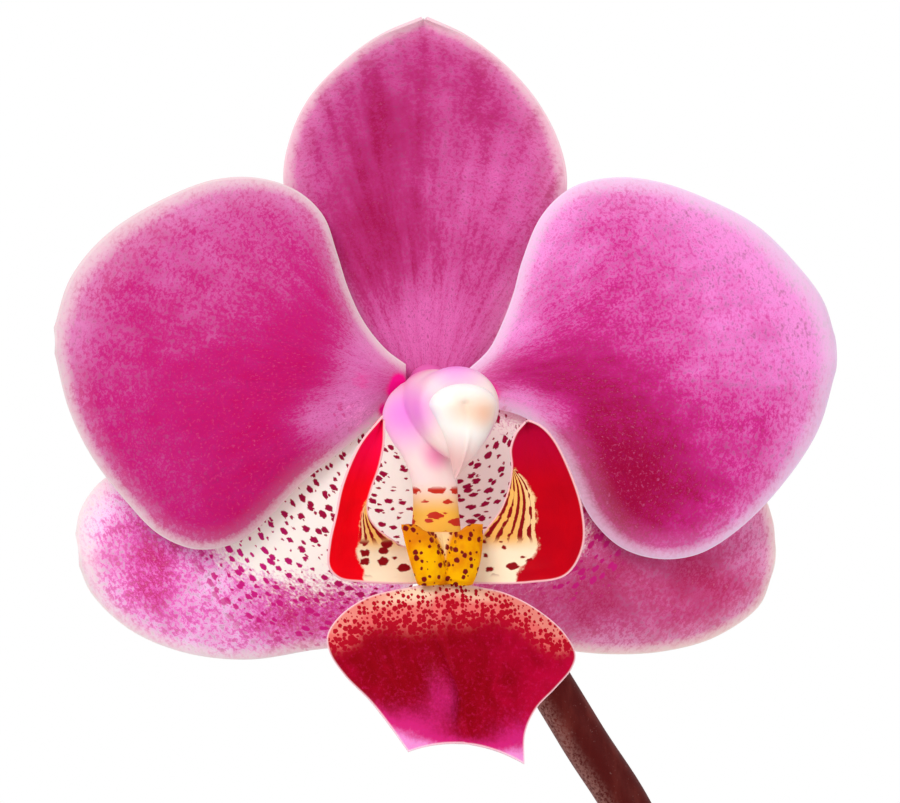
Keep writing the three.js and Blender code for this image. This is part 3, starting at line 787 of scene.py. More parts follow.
@dataclass(frozen=True)
class Tepal:
    """A sepal or petal: a thin sheet between two edges in the flower's face, arched in depth.

    The edges run from the joined end to the tip as (across, up), in millimetres.
    """

    name: str
    slot: str
    left: list[Point]
    right: list[Point]
    claw: Point
    finish: TepalFinish
    root_depth: float = -0.6
    tip_depth: float = 0.2
    crown: float = 1.8
    curl: float = 0.8
    tone: tuple[Wash, ...] = ()
    ground: tuple[Wash, ...] = ()
    flecks: tuple[Wash, ...] = ()
    stain: tuple[Wash, ...] = ()
    fade: tuple[Wash, ...] = ()
    base_tone: float = 0.5
    ripple: float = 0.5
    ripple_scale: float = 0.075
    seed: float = 0.0
    steps: int = 112
    thickness: float = 0.75
    fan_width: float = 16.0

    def face(self) -> np.ndarray:
        """The sheet's (across, up) points, rows along it and columns across it."""
        return loft(self.left, self.right, self.steps, self.steps)

    def washed(self, face: np.ndarray, washes: tuple[Wash, ...], base: float = 0.0) -> np.ndarray:
        """The sum of the washes over the sheet."""
        total = np.full(face.shape[:2], base)
        for wash in washes:
            apart = np.hypot(face[..., 0] - wash.x, face[..., 1] - wash.z)
            total += wash.strength * bell(apart, wash.radius)
        return total

    def depth(self, face: np.ndarray, margin: np.ndarray) -> np.ndarray:
        """How far back each point stands."""
        across = np.linspace(-1, 1, self.steps + 1)[None, :]
        t = np.linspace(0, 1, self.steps + 1)[:, None]
        lean = self.root_depth + (self.tip_depth - self.root_depth) * t**1.5
        arch = self.crown * np.sin(np.pi * t) * (1 - across**2)
        depth = lean - arch + self.curl * across**2 * np.sin(np.pi * t / 2)
        wave = rippled(face[..., 0], face[..., 1], self.ripple_scale, self.seed)
        return depth + self.ripple * wave * smoothstep(0.0, 0.25, t) + 0.5 * np.exp(-margin / 0.8)

    def build(self, patterns: Patterns) -> Object:
        """Makes the finished sheet."""
        face = self.face()
        margin = edge_margin(face)
        depth = self.depth(face, margin)
        points = np.stack([face[..., 0], depth, face[..., 1]], -1)
        obj = new_grid(self.name + "_tissue", PLACE.to_world(points))
        away = face - np.array(self.claw)
        radius = np.hypot(away[..., 0], away[..., 1])
        heading = np.array(face[self.steps // 2, self.steps // 2]) - np.array(self.claw)
        angle = np.arctan2(away[..., 1], away[..., 0]) - math.atan2(heading[1], heading[0])
        angle = (angle + math.pi) % (2 * math.pi) - math.pi
        numbers = {
            "margin": margin / self.washed(face, self.fade, 1.0),
            "tone": self.washed(face, self.tone, self.base_tone),
            "ground": self.washed(face, self.ground),
            "flecks": self.washed(face, self.flecks),
            "stain": self.washed(face, self.stain),
            "fan_across": angle * self.fan_width,
            "fan_along": radius,
            "dots_across": angle * radius,
            "dots_along": radius,
        }
        set_attributes(obj, numbers)
        join_vector(obj, "fan", "fan_across", "fan_along")
        join_vector(obj, "dots", "dots_across", "dots_along")
        thicken(obj, 0.4 + 0.6 * smoothstep(0.0, 3.0, margin), self.thickness)
        round_edges(obj, 0.12, 2)
        return dressed(obj, self.finish.material(patterns), 40, self.slot, self.name)


# ---------------------------------------------------------------- the lip


@dataclass(frozen=True)
class LobeFinish:
    """The waxy red, cream and gold of the lip."""

    name: str
    red: tuple = srgb(205, 4, 24)
    dark: tuple = srgb(138, 0, 14)
    cream: tuple = srgb(250, 228, 196)
    gold: tuple = srgb(244, 184, 96)
    spot: tuple = srgb(140, 14, 22)
    # Painted highlight: the colour of the thin pale line along the wings' margin.
    rim: tuple = srgb(246, 190, 196)
    top: tuple = srgb(176, 0, 50)
    surface: Surface = Surface(
        roughness=0.5, specular=0.03, subsurface=0.12, radius=(0.9, 0.2, 0.15), bump=0.3, bump_depth=0.05
    )

    def wing_material(self, patterns: Patterns) -> Material:
        """Red outer zone, cream inner zone with spots below and curved stripes above, and a painted highlight
        along its margin.
        """
        shader = Skin(self.name, self.surface)
        place = millimetres(shader)
        cloud = shader.maths("SUBTRACT", shader.noise(place, 0.9, 4.0, 0.65), 0.5)
        ragged = shader.plus(attribute(shader, "red"), cloud, 1.3)
        red_zone = shader.ramp(ragged, -0.15, 0.25)
        ground = shader.blend(attribute(shader, "golden"), self.cream, self.gold)
        wave = shader.plus(attribute(shader, "stripe"), cloud, 0.5)
        ridge = shader.apart(shader.maths("FRACT", wave), 0.5)
        breaks = shader.ramp(shader.noise(place, 0.9, 1.0), 0.36, 0.5, 0.22, 0.0)
        line = shader.ramp(shader.plus(ridge, breaks), 0.2, 0.3, 1.0, 0.0)
        striped = shader.times(line, attribute(shader, "striped"))
        spots = patterns.flecked(shader, place, (0.48, 1.0, 0.66), 0.31, 0.3)
        spotted = shader.times(spots, attribute(shader, "spotted"))
        mark = shader.maths("MAXIMUM", striped, spotted)
        inner = shader.blend(mark, ground, self.spot)
        shade_mix = shader.ramp(shader.noise(place, 0.35, 3.0), 0.3, 0.7, 0.0, 0.55)
        outer = shader.blend(shade_mix, self.red, self.dark)
        height = shader.axis(place, 2)
        outer = shader.blend(shader.ramp(height, -12.0, -4.0), outer, self.top)
        colour = shader.blend(red_zone, inner, outer)
        # Painted highlight: a thin pale line along the margin.
        rim = shader.ramp(attribute(shader, "margin"), 0.03, 0.22, 1.0, 0.0)
        colour = shader.blend(rim, colour, self.rim)
        relief = shader.noise(place, 2.2, 3.0, 0.6)
        return shader.finished(colour, relief)

    def middle_material(self, patterns: Patterns) -> Material:
        """Crimson, dotted cream along its upper edge, paler magenta at its tips, with a painted magenta
        highlight left of its ridge.
        """
        shader = Skin(self.name + "_middle", self.surface)
        place = millimetres(shader)
        cloud = shader.maths("SUBTRACT", shader.noise(place, 0.5, 3.0), 0.5)
        fine = shader.maths("SUBTRACT", shader.noise(place, 2.4, 3.0, 0.7), 0.5)
        body = shader.blend(
            shader.ramp(shader.plus(attribute(shader, "bright"), cloud), 0.0, 1.0),
            self.dark,
            srgb(188, 0, 54),
        )
        # The tips' magenta also carries the painted highlight left of the ridge.
        tipped = shader.plus(attribute(shader, "tipped"), fine, 0.5)
        veins = shader.noise(shader.stretched(uv(shader), (26.0, 1.4, 1.0)), 1.0, 3.0, 0.6)
        body = shader.blend(shader.ramp(veins, 0.48, 0.7, 0.0, 0.16), body, srgb(196, 10, 48))
        body = shader.blend(shader.ramp(fine, 0.0, 0.25, 0.0, 0.35), body, srgb(204, 24, 84))
        body = shader.blend(shader.ramp(tipped, 0.0, 0.7), body, srgb(206, 34, 116))
        body = shader.blend(shader.ramp(tipped, 0.75, 1.4), body, srgb(236, 140, 206))
        upper = attribute(shader, "upper")
        size = shader.ramp(upper, 0.1, 4.2, 0.34, 0.68)
        dots = patterns.flecked(shader, place, (1.8, 1.8, 1.8), size, 0.3)
        merge = shader.ramp(shader.plus(upper, fine, 3.0), 3.2, 6.2)
        dotted = shader.maths("MAXIMUM", dots, merge)
        salmon = shader.maths("MAXIMUM", shader.ramp(upper, 0.5, 2.6), attribute(shader, "ends"))
        ground = shader.blend(salmon, self.cream, srgb(224, 104, 100))
        band = shader.ramp(upper, 3.4, 6.6, 1.0, 0.0)
        spotted = shader.blend(dotted, ground, srgb(176, 10, 34))
        colour = shader.blend(band, body, spotted)
        rim = shader.ramp(attribute(shader, "margin"), 0.02, 0.24, 0.8, 0.0)
        colour = shader.blend(rim, colour, srgb(250, 214, 222))
        return shader.finished(colour, shader.noise(place, 2.0, 3.0, 0.6))

    def callus_material(self, patterns: Patterns) -> Material:
        """Golden yellow with dark red flecks."""
        shader = Skin(self.name + "_callus", self.surface)
        place = millimetres(shader)
        cloud = shader.ramp(shader.noise(place, 0.55, 3.0), 0.25, 0.8)
        body = shader.blend(cloud, srgb(244, 178, 0), srgb(216, 126, 4))
        height = shader.axis(place, 2)
        body = shader.blend(shader.ramp(height, -18.4, -16.4, 0.0, 0.7), body, srgb(212, 116, 10))
        valley = attribute(shader, "groove")
        body = shader.blend(shader.ramp(valley, 0.35, 0.62), body, srgb(246, 206, 148))
        seam = shader.ramp(shader.apart(valley, 0.42), 0.1, 0.26, 1.0, 0.0)
        beads = patterns.flecked(shader, place, (1.9, 1.0, 1.35), 0.4, 0.3)
        beads = shader.times(beads, seam)
        spots = patterns.flecked(shader, place, (1.1, 1.0, 1.0), 0.29, 0.2)
        spots = shader.times(spots, shader.ramp(valley, 0.2, 0.4, 1.0, 0.0))
        colour = shader.blend(shader.maths("MAXIMUM", spots, beads), body, srgb(118, 18, 20))
        return shader.finished(colour, shader.noise(place, 1.5, 2.0))


@dataclass(frozen=True)
class Wing:
    """One upright side lobe, in millimetres.

    The outer and inner edges run from the callus to the tip. The red edge, as (across, up), parts the red
    outer zone from the pale inner one, and runs upwards.
    """

    side: Side
    outer: list[Point]
    inner: list[Point]
    red_edge: list[Point]
    stripes: float
    bulge: float = 1.2

    def build(self, finish: Material) -> Object:
        """Makes the lobe."""
        rows, columns = 96, 52
        sheet = loft(self.outer, self.inner, rows, columns)
        s, t = shares(rows, columns)
        sheet[..., 1] += self.bulge * np.sin(np.pi * s) * smoothstep(0.0, 0.3, t)
        margin = edge_margin(sheet)
        face = sheet[..., [0, 2]]
        up = face[..., 1]
        red = -self.side.value * edge_distance(face, smooth_path(self.red_edge, 60), signed=True)
        from_inner = edge_distance(face, face[:, -1])
        share = from_inner / (from_inner + np.abs(red) + 0.05)
        obj = new_grid(f"lip_wing_{self.side.name.lower()}", PLACE.to_world(sheet))
        numbers = {
            "margin": margin,
            "red": red,
            "stripe": share * self.stripes,
            "golden": smoothstep(-19.0, -16.8, up) * (0.6 + 0.4 * smoothstep(0.9, 0.5, share)),
            "striped": smoothstep(-17.9, -16.9, up),
            "spotted": smoothstep(-16.8, -17.6, up) * smoothstep(-21.8, -21.0, up),
        }
        set_attributes(obj, numbers)
        thicken(obj, 0.1 + 0.9 * smoothstep(0.0, 1.6, margin), 0.95)
        round_edges(obj, 0.07, 3)
        return coated(obj, finish, 45)


@dataclass(frozen=True)
class MiddleLobe:
    """The anchor-shaped middle lobe, grooved, with a ridge near its end."""

    left: list[Point]
    right: list[Point]
    notch: float = 1.5
    groove: float = 0.3
    dome: float = 1.5

    def build(self, finish: Material) -> Object:
        """Makes the lobe."""
        rows, columns = 110, 110
        sheet = loft(self.left, self.right, rows, columns)
        s, t = shares(rows, columns)
        middle = 0.42 + 0.07 * smoothstep(0.3, 0.75, t)
        across = (s - middle) * 2
        width = np.linalg.norm(sheet[:, -1] - sheet[:, 0], axis=1)[:, None] / 2
        off = across * width
        arch = 1 - (2 * s - 1) ** 2
        sheet[..., 2] += self.notch * arch * t**6
        sheet[..., 2] += 0.9 * arch * (1 - t) ** 8
        sheet[..., 1] -= self.dome * (1 - across**2) * np.sin(np.pi * np.minimum(t * 1.15, 1.0))
        sheet[..., 1] += self.groove * bell(off, 0.5) * smoothstep(0.0, 0.15, t)
        ridge = bell(off, 0.95, -0.9) * bell(t, 0.13, 0.72)
        sheet[..., 1] -= 1.5 * ridge
        face = sheet[..., [0, 2]]
        margin = edge_margin(face)
        half = rows * 38 // 100
        top = np.vstack([face[half::-1, 0], face[0], face[:half, -1]])
        ends = 0.85 * smoothstep(2.0, 8.0, np.abs(off))
        upper = edge_distance(face, top) * (1 + 0.5 * ends)
        tips = np.minimum(
            np.linalg.norm(face - face[-1, 0], axis=-1), np.linalg.norm(face - face[-1, -1], axis=-1)
        )
        lower = edge_distance(face, np.vstack([face[half:, 0], face[-1]]))
        tipped = 1.25 * bell(tips, 3.6) + 0.4 * bell(lower, 0.7) * smoothstep(0.6, 0.9, t)
        # Painted highlight: a paler magenta patch on the left flank of the ridge, added to the tips' tint.
        tipped = tipped + 0.4 * bell(off, 1.6, -1.5) * bell(t, 0.16, 0.74)
        obj = new_grid("lip_middle_lobe", PLACE.to_world(sheet))
        bright = 0.1 + 0.4 * smoothstep(1.0, 10.0, off) + 0.2 * smoothstep(3.0, 0.5, margin)
        numbers = {"margin": margin, "upper": upper, "tipped": tipped, "bright": bright, "ends": ends}
        set_attributes(obj, numbers)
        thicken(obj, 0.15 + 0.85 * smoothstep(0.0, 2.0, margin), 0.9)
        round_edges(obj, 0.08, 2)
        return coated(obj, finish, 45)


@dataclass(frozen=True)
class Callus:
    """The fleshy golden pad between the wings: two raised flanks and a groove."""

    left: list[Point]
    right: list[Point]
    rise: float = 1.5

    def build(self, finish: Material) -> Object:
        """Makes the pad."""
        rows, columns = 60, 60
        sheet = loft(self.left, self.right, rows, columns)
        s, t = shares(rows, columns)
        across = np.abs(2 * s - 1)
        flank = bell(across, 0.32, 0.55)
        groove = bell(across, 0.46 - 0.26 * t)
        sheet[..., 1] -= self.rise * (0.75 * flank + 0.25) * (0.6 + 0.4 * np.sin(np.pi * t))
        sheet[..., 1] += 0.9 * groove * smoothstep(1.15, 0.3, t)
        sheet[..., 2] += 0.7 * smoothstep(0.5, 0.8, across) * smoothstep(0.3, 0.0, t)
        sheet[..., 2] -= 0.9 * groove * smoothstep(0.25, 0.0, t)
        obj = new_grid("lip_callus", PLACE.to_world(sheet))
        set_attribute(obj, "groove", groove * smoothstep(1.1, 0.8, t))
        edge = np.minimum(np.minimum(s, 1 - s), np.minimum(t, 1 - t)) * 8
        thicken(obj, 0.6 + 0.4 * smoothstep(0.0, 1.0, edge), 1.3, offset=-1.0)
        round_edges(obj, 0.3, 3)
        return coated(obj, finish, 45)


@dataclass(frozen=True)
class Lip:
    """The whole lip, joined into one growth."""

    finish: LobeFinish = LobeFinish("lip_flesh")
    # Painted light and shade: the left wing's reds are brighter, as lit, and the right wing's darker, as in
    # shade.
    left_wing_lit: LobeFinish = LobeFinish(
        "lip_wing_left", red=srgb(246, 0, 20), dark=srgb(222, 0, 18), top=srgb(240, 4, 78)
    )
    right_wing_shaded: LobeFinish = LobeFinish("lip_wing_right", red=srgb(192, 0, 20), dark=srgb(172, 0, 22))

    def wings(self) -> list[Wing]:
        """The two side lobes."""
        left = Wing(
            Side.LEFT,
            outer=[
                (-1.6, -11, -22.2), (-3.7, -11.6, -22.3), (-9.6, -13, -22.0), (-12.4, -14.2, -21.5),
                (-13.6, -14.8, -20.2), (-13.6, -15.5, -17.6), (-13.0, -16, -14.6), (-12.2, -16, -11.0),
                (-10.2, -15.5, -6.6), (-7.6, -15, -3.5),
            ],
            inner=[
                (-1.6, -10, -17.6), (-4.2, -10.5, -18.2), (-6.0, -11.2, -17.3), (-7.6, -12.2, -16.2),
                (-8.8, -13.2, -14.8), (-9.1, -13.6, -13.4), (-8.7, -14, -11.6), (-7.9, -14.4, -9.2),
                (-7.4, -14.6, -6.6), (-7.4, -14.8, -4.0),
            ],
            red_edge=[
                (-9.4, -23.0), (-9.6, -20.8), (-10.3, -19.0), (-9.95, -16.6), (-9.7, -14.4), (-8.9, -12.8),
                (-7.4, -12.2),
            ],
            stripes=3.6,
        )
        right = Wing(
            Side.RIGHT,
            outer=[
                (1.6, -11, -22.2), (3.4, -11.6, -22.3), (9.3, -13, -22.2), (13.2, -14.5, -21.3),
                (14.9, -15.7, -18.0), (14.7, -16, -13.8), (13.3, -15.7, -9.4), (11.6, -15.2, -6.0),
                (10.2, -15, -4.6), (8.9, -15, -4.0),
            ],
            inner=[
                (1.6, -10, -17.6), (3.7, -10.5, -17.4), (4.9, -11.2, -15.9), (6.2, -12.3, -13.8),
                (6.9, -13.2, -11.4), (7.1, -13.8, -9.2), (6.9, -14.2, -7.2), (7.5, -14.4, -5.4),
                (8.5, -14.8, -4.2),
            ],
            red_edge=[
                (7.6, -22.8), (8.2, -21.2), (9.2, -20.2), (10.3, -19.0), (10.6, -17.9), (10.2, -16.0),
                (10.1, -14.2), (9.6, -12.2), (8.6, -10.6), (7.5, -9.6), (6.4, -8.8),
            ],
            stripes=5.4,
        )
        return [left, right]

    def middle(self) -> MiddleLobe:
        """The middle lobe."""
        return MiddleLobe(
            left=[
                (-3.0, -12, -22.7), (-6.2, -12.5, -23.1), (-9.4, -13.2, -23.9), (-12.3, -14, -25.7),
                (-13.8, -14.7, -27.8), (-13.6, -15.2, -29.7), (-12.0, -16, -32.2), (-9.3, -17.2, -35.0),
                (-7.4, -18.4, -37.5), (-5.4, -19.5, -40.4),
            ],
            right=[
                (2.6, -12, -22.7), (6.4, -12.6, -23.4), (10.0, -13.4, -25.2), (13.0, -14.2, -27.8),
                (14.2, -14.9, -30.2), (13.6, -15.6, -31.8), (11.6, -16.6, -33.8), (9.2, -17.6, -36.0),
                (7.8, -18.6, -38.6), (7.5, -19.6, -41.9),
            ],
        )

    def callus(self) -> Callus:
        """The pad between the wings."""
        return Callus(
            left=[(-5.0, -11.2, -16.8), (-4.5, -12.2, -18.4), (-3.8, -12.8, -20.6), (-3.3, -13.0, -22.2)],
            right=[(4.0, -11.2, -16.8), (3.6, -12.2, -18.4), (3.0, -12.8, -20.6), (2.4, -13.0, -22.2)],
        )

    def claw(self, finish: Material) -> Object:
        """The short stalk behind the callus that the three lobes grow from."""
        path = smooth_path([(-0.5, -9.4, -18.6), (-0.4, -10.4, -20.4), (-0.3, -11.4, -22.4)], 14)
        obj = tube("lip_claw", PLACE.to_world(path), np.full(14, 2.1 * MM), 28)
        return coated(obj, finish, 50)

    def build(self, patterns: Patterns) -> Object:
        """Makes and joins the lobes."""
        callus_finish = self.finish.callus_material(patterns)
        finishes = (self.left_wing_lit, self.right_wing_shaded)
        pieces = [
            wing.build(finish.wing_material(patterns))
            for wing, finish in zip(self.wings(), finishes, strict=True)
        ]
        pieces.append(self.middle().build(self.finish.middle_material(patterns)))
        pieces.append(self.callus().build(callus_finish))
        pieces.append(self.claw(callus_finish))
        obj = joined("lip_growth", pieces)
        return placed(obj, "lip", "lip")


# ---------------------------------------------------------------- the column


@dataclass(frozen=True)
class ColumnFinish:
    """Lilac hood, white middle and yellow barred foot."""

    name: str = "column_flesh"
    white: tuple = srgb(253, 226, 222)
    lilac: tuple = srgb(240, 138, 226)
    pink: tuple = srgb(238, 104, 186)
    yellow: tuple = srgb(248, 186, 66)
    bar: tuple = srgb(200, 40, 14)
    surface: Surface = Surface(roughness=0.45, specular=0.2, subsurface=0.3, bump=0.15, bump_depth=0.04)

    def material(self, patterns: Patterns) -> Material:
        """Builds the material."""
        shader = Skin(self.name, self.surface)
        place = millimetres(shader)
        height = shader.axis(place, 2)
        low = shader.ramp(height, -14.8, -10.6, 1.0, 0.0)
        colour = shader.blend(low, self.white, self.yellow)
        spots = (
            ((-4.2, -6.0, -3.0), 6.4, self.lilac, 1.0),
            ((1.4, -9.0, 1.8), 5.0, self.lilac, 1.0),
            ((-3.2, -9.5, -3.0), 4.4, self.lilac, 0.9),
            ((-0.4, -8.0, -7.8), 2.6, self.pink, 0.8),
            ((-1.6, -1.5, 1.4), 5.6, self.pink, 1.0),
            ((4.6, -9.5, -6.6), 3.4, self.lilac, 0.5),
        )
        colour = patterns.patched(shader, place, colour, spots)
        bars = patterns.flecked(shader, place, (0.42, 1.0, 0.85), 0.37, 0.4)
        above, below = shader.ramp(height, -16.8, -16.2), shader.ramp(height, -11.9, -11.3, 1.0, 0.0)
        zone = shader.times(below, above)
        colour = shader.blend(shader.times(bars, zone), colour, self.bar)
        return shader.finished(colour, shader.noise(place, 1.2, 2.0))


@dataclass(frozen=True)
class Column:
    """The column: a body with a hooded head, and a foot that runs down to the lip."""

    body: tuple[Point, ...] = (
        (-0.2, -0.9, -1.2, 3.3, 3.0),
        (-0.1, -3.2, -1.4, 3.7, 3.2),
        (0.5, -5.6, -1.9, 4.3, 3.6),
        (1.3, -7.6, -2.3, 4.8, 4.1),
        (1.7, -9.2, -2.4, 4.8, 4.5),
        (1.7, -10.4, -2.3, 4.3, 4.0),
        (1.8, -11.2, -2.3, 3.0, 2.8),
    )
    foot: tuple[Point, ...] = (
        (-1.2, -2.0, 0.2, 2.4, 1.4),
        (-1.9, -3.0, -1.4, 3.4, 2.0),
        (-2.2, -3.9, -3.8, 3.9, 2.1),
        (-1.75, -4.8, -6.2, 3.5, 2.0),
        (-1.0, -5.6, -8.4, 2.9, 1.8),
        (-0.5, -6.6, -11.0, 2.65, 1.6),
        (-0.5, -7.4, -13.3, 2.6, 1.4),
        (-0.6, -8.6, -16.8, 2.9, 1.2),
    )

    @staticmethod
    def skin(name: str, sections: tuple[Point, ...], upright: bool, tip: float = 0.0) -> Object:
        """A closed oval skin over cross-sections of (across, depth, up, half width, half height)."""
        sides, rows = 48, 40
        path = smooth_path(sections, rows + 1)
        angles = turns(sides)
        rings = []
        caps = [0.0, 0.5, 0.85]
        order = [(0, cap) for cap in caps] + [(k, 1.0) for k in range(rows + 1)]
        order += [(rows, cap) for cap in reversed(caps)]
        for k, share in order:
            x, y, z, wide, high = path[k]
            a, b = wide * share * np.cos(angles), high * share * np.sin(angles)
            point = tip * np.clip(-np.sin(angles), 0, 1) ** 3 * share
            ring = (x + a, y + 0 * a, z + b - point) if upright else (x + a, y + b, z + 0 * a)
            rings.append(np.stack(ring, 1))
        return closed_grid(name, PLACE.to_world(np.array(rings)))

    def build(self, patterns: Patterns) -> Object:
        """Makes the column."""
        head = self.skin("column_head", self.body, True, tip=1.6)
        foot = self.skin("column_foot", self.foot, False)
        obj = joined("column_flesh", [head, foot])
        apply_modifier(obj, "REMESH", mode="VOXEL", voxel_size=0.16 * MM)
        apply_modifier(obj, "SMOOTH", factor=0.6, iterations=14)
        obj.data.materials.clear()
        return dressed(obj, ColumnFinish().material(patterns), 70, "column", "column")


@dataclass(frozen=True)
class AntherCap:
    """The waxy cap on the column's head: a rounded drop that narrows to a beak below."""

    centre: Point = (2.1, -10.2, -2.4)
    half_width: float = 3.95
    height_up: float = 2.6
    height_down: float = 8.2
    depth: float = 2.9
    surface: Surface = Surface(roughness=0.38, specular=0.3, subsurface=0.35, bump=0.12, bump_depth=0.05)

    def material(self, patterns: Patterns) -> Material:
        """Cream white, with two tan patches and a lilac foot."""
        shader = Skin("cap_wax", self.surface)
        place = millimetres(shader)
        colour = srgb(255, 250, 244)
        spots = (
            ((1.7, -12.9, -2.7), 2.8, srgb(240, 190, 146), 0.5),
            ((4.1, -12.3, -3.1), 3.0, srgb(243, 178, 132), 0.75),
            ((1.4, -11.5, -9.0), 5.0, srgb(230, 182, 178), 0.95),
            ((-1.6, -10.6, -3.0), 2.2, srgb(240, 206, 244), 0.7),
        )
        colour = patterns.patched(shader, place, colour, spots)
        return shader.finished(colour, shader.noise(place, 1.0, 2.0))

    def build(self, patterns: Patterns) -> Object:
        """Makes the cap."""
        rows, columns = 64, 64
        polar = np.linspace(0, math.pi / 2, rows + 1)[:, None]
        angle = turns(columns)[None, :]
        out, up = np.sin(polar) * np.cos(angle), np.sin(polar) * np.sin(angle)
        down = np.clip(-up, 0, 1)
        narrow = 1 - 0.78 * down**1.15
        x = self.centre[0] + self.half_width * out * narrow + 0.45 * np.sin(math.pi * down) - 0.86 * down**2
        z = self.centre[2] + np.where(up > 0, up * self.height_up, up * self.height_down)
        swell = np.cos(polar) ** 0.8 * self.depth
        crease = 0.35 * bell(out, 0.12) * smoothstep(0.25, 0.6, down)
        notch = 0.5 * bell(out, 0.16) * bell(up, 0.2, 0.05)
        y = self.centre[1] - swell * (1 - 0.45 * down) - crease + notch
        obj = closed_grid("anther_cap_wax", PLACE.to_world(np.stack([x, y, z], -1)))
        apply_modifier(obj, "SOLIDIFY", thickness=0.5 * MM, offset=-1.0)
        return dressed(obj, self.material(patterns), 60, "anther_cap", "anther_cap")


# ---------------------------------------------------------------- the flower's five tepals

PETAL_LEFT = TepalFinish(
    "petal_left_tissue",
    light=srgb(218, 118, 184),
    mid=srgb(194, 30, 122),
    deep=srgb(192, 0, 94),
    edge=srgb(232, 212, 214),
    edge_width=1.5,
    ground=srgb(246, 148, 212),
    fleck=srgb(206, 30, 120),
)
PETAL_RIGHT = TepalFinish(
    "petal_right_tissue",
    light=srgb(240, 136, 212),
    mid=srgb(206, 38, 138),
    deep=srgb(160, 0, 62),
    edge=srgb(238, 212, 236),
    edge_width=2.0,
    ground=srgb(244, 168, 210),
    fleck=srgb(190, 20, 96),
    streak=0.3,
)
DORSAL = TepalFinish(
    "dorsal_tissue",
    light=srgb(222, 106, 178),
    mid=srgb(188, 48, 122),
    deep=srgb(160, 6, 72),
    edge=srgb(236, 206, 212),
    edge_width=1.5,
    streak=1.1,
)
LATERAL_LEFT = TepalFinish(
    "lateral_left_tissue",
    light=srgb(252, 212, 250),
    mid=srgb(236, 104, 196),
    deep=srgb(200, 40, 118),
    edge=srgb(244, 226, 226),
    edge_width=2.0,
    grain=3.8,
    streak=0.8,
    ground=srgb(254, 248, 240),
)
LATERAL_RIGHT = TepalFinish(
    "lateral_right_tissue",
    light=srgb(232, 150, 200),
    mid=srgb(206, 84, 142),
    deep=srgb(184, 36, 92),
    edge=srgb(246, 226, 218),
    edge_width=1.8,
    grain=3.0,
    ground=srgb(246, 226, 222),
)

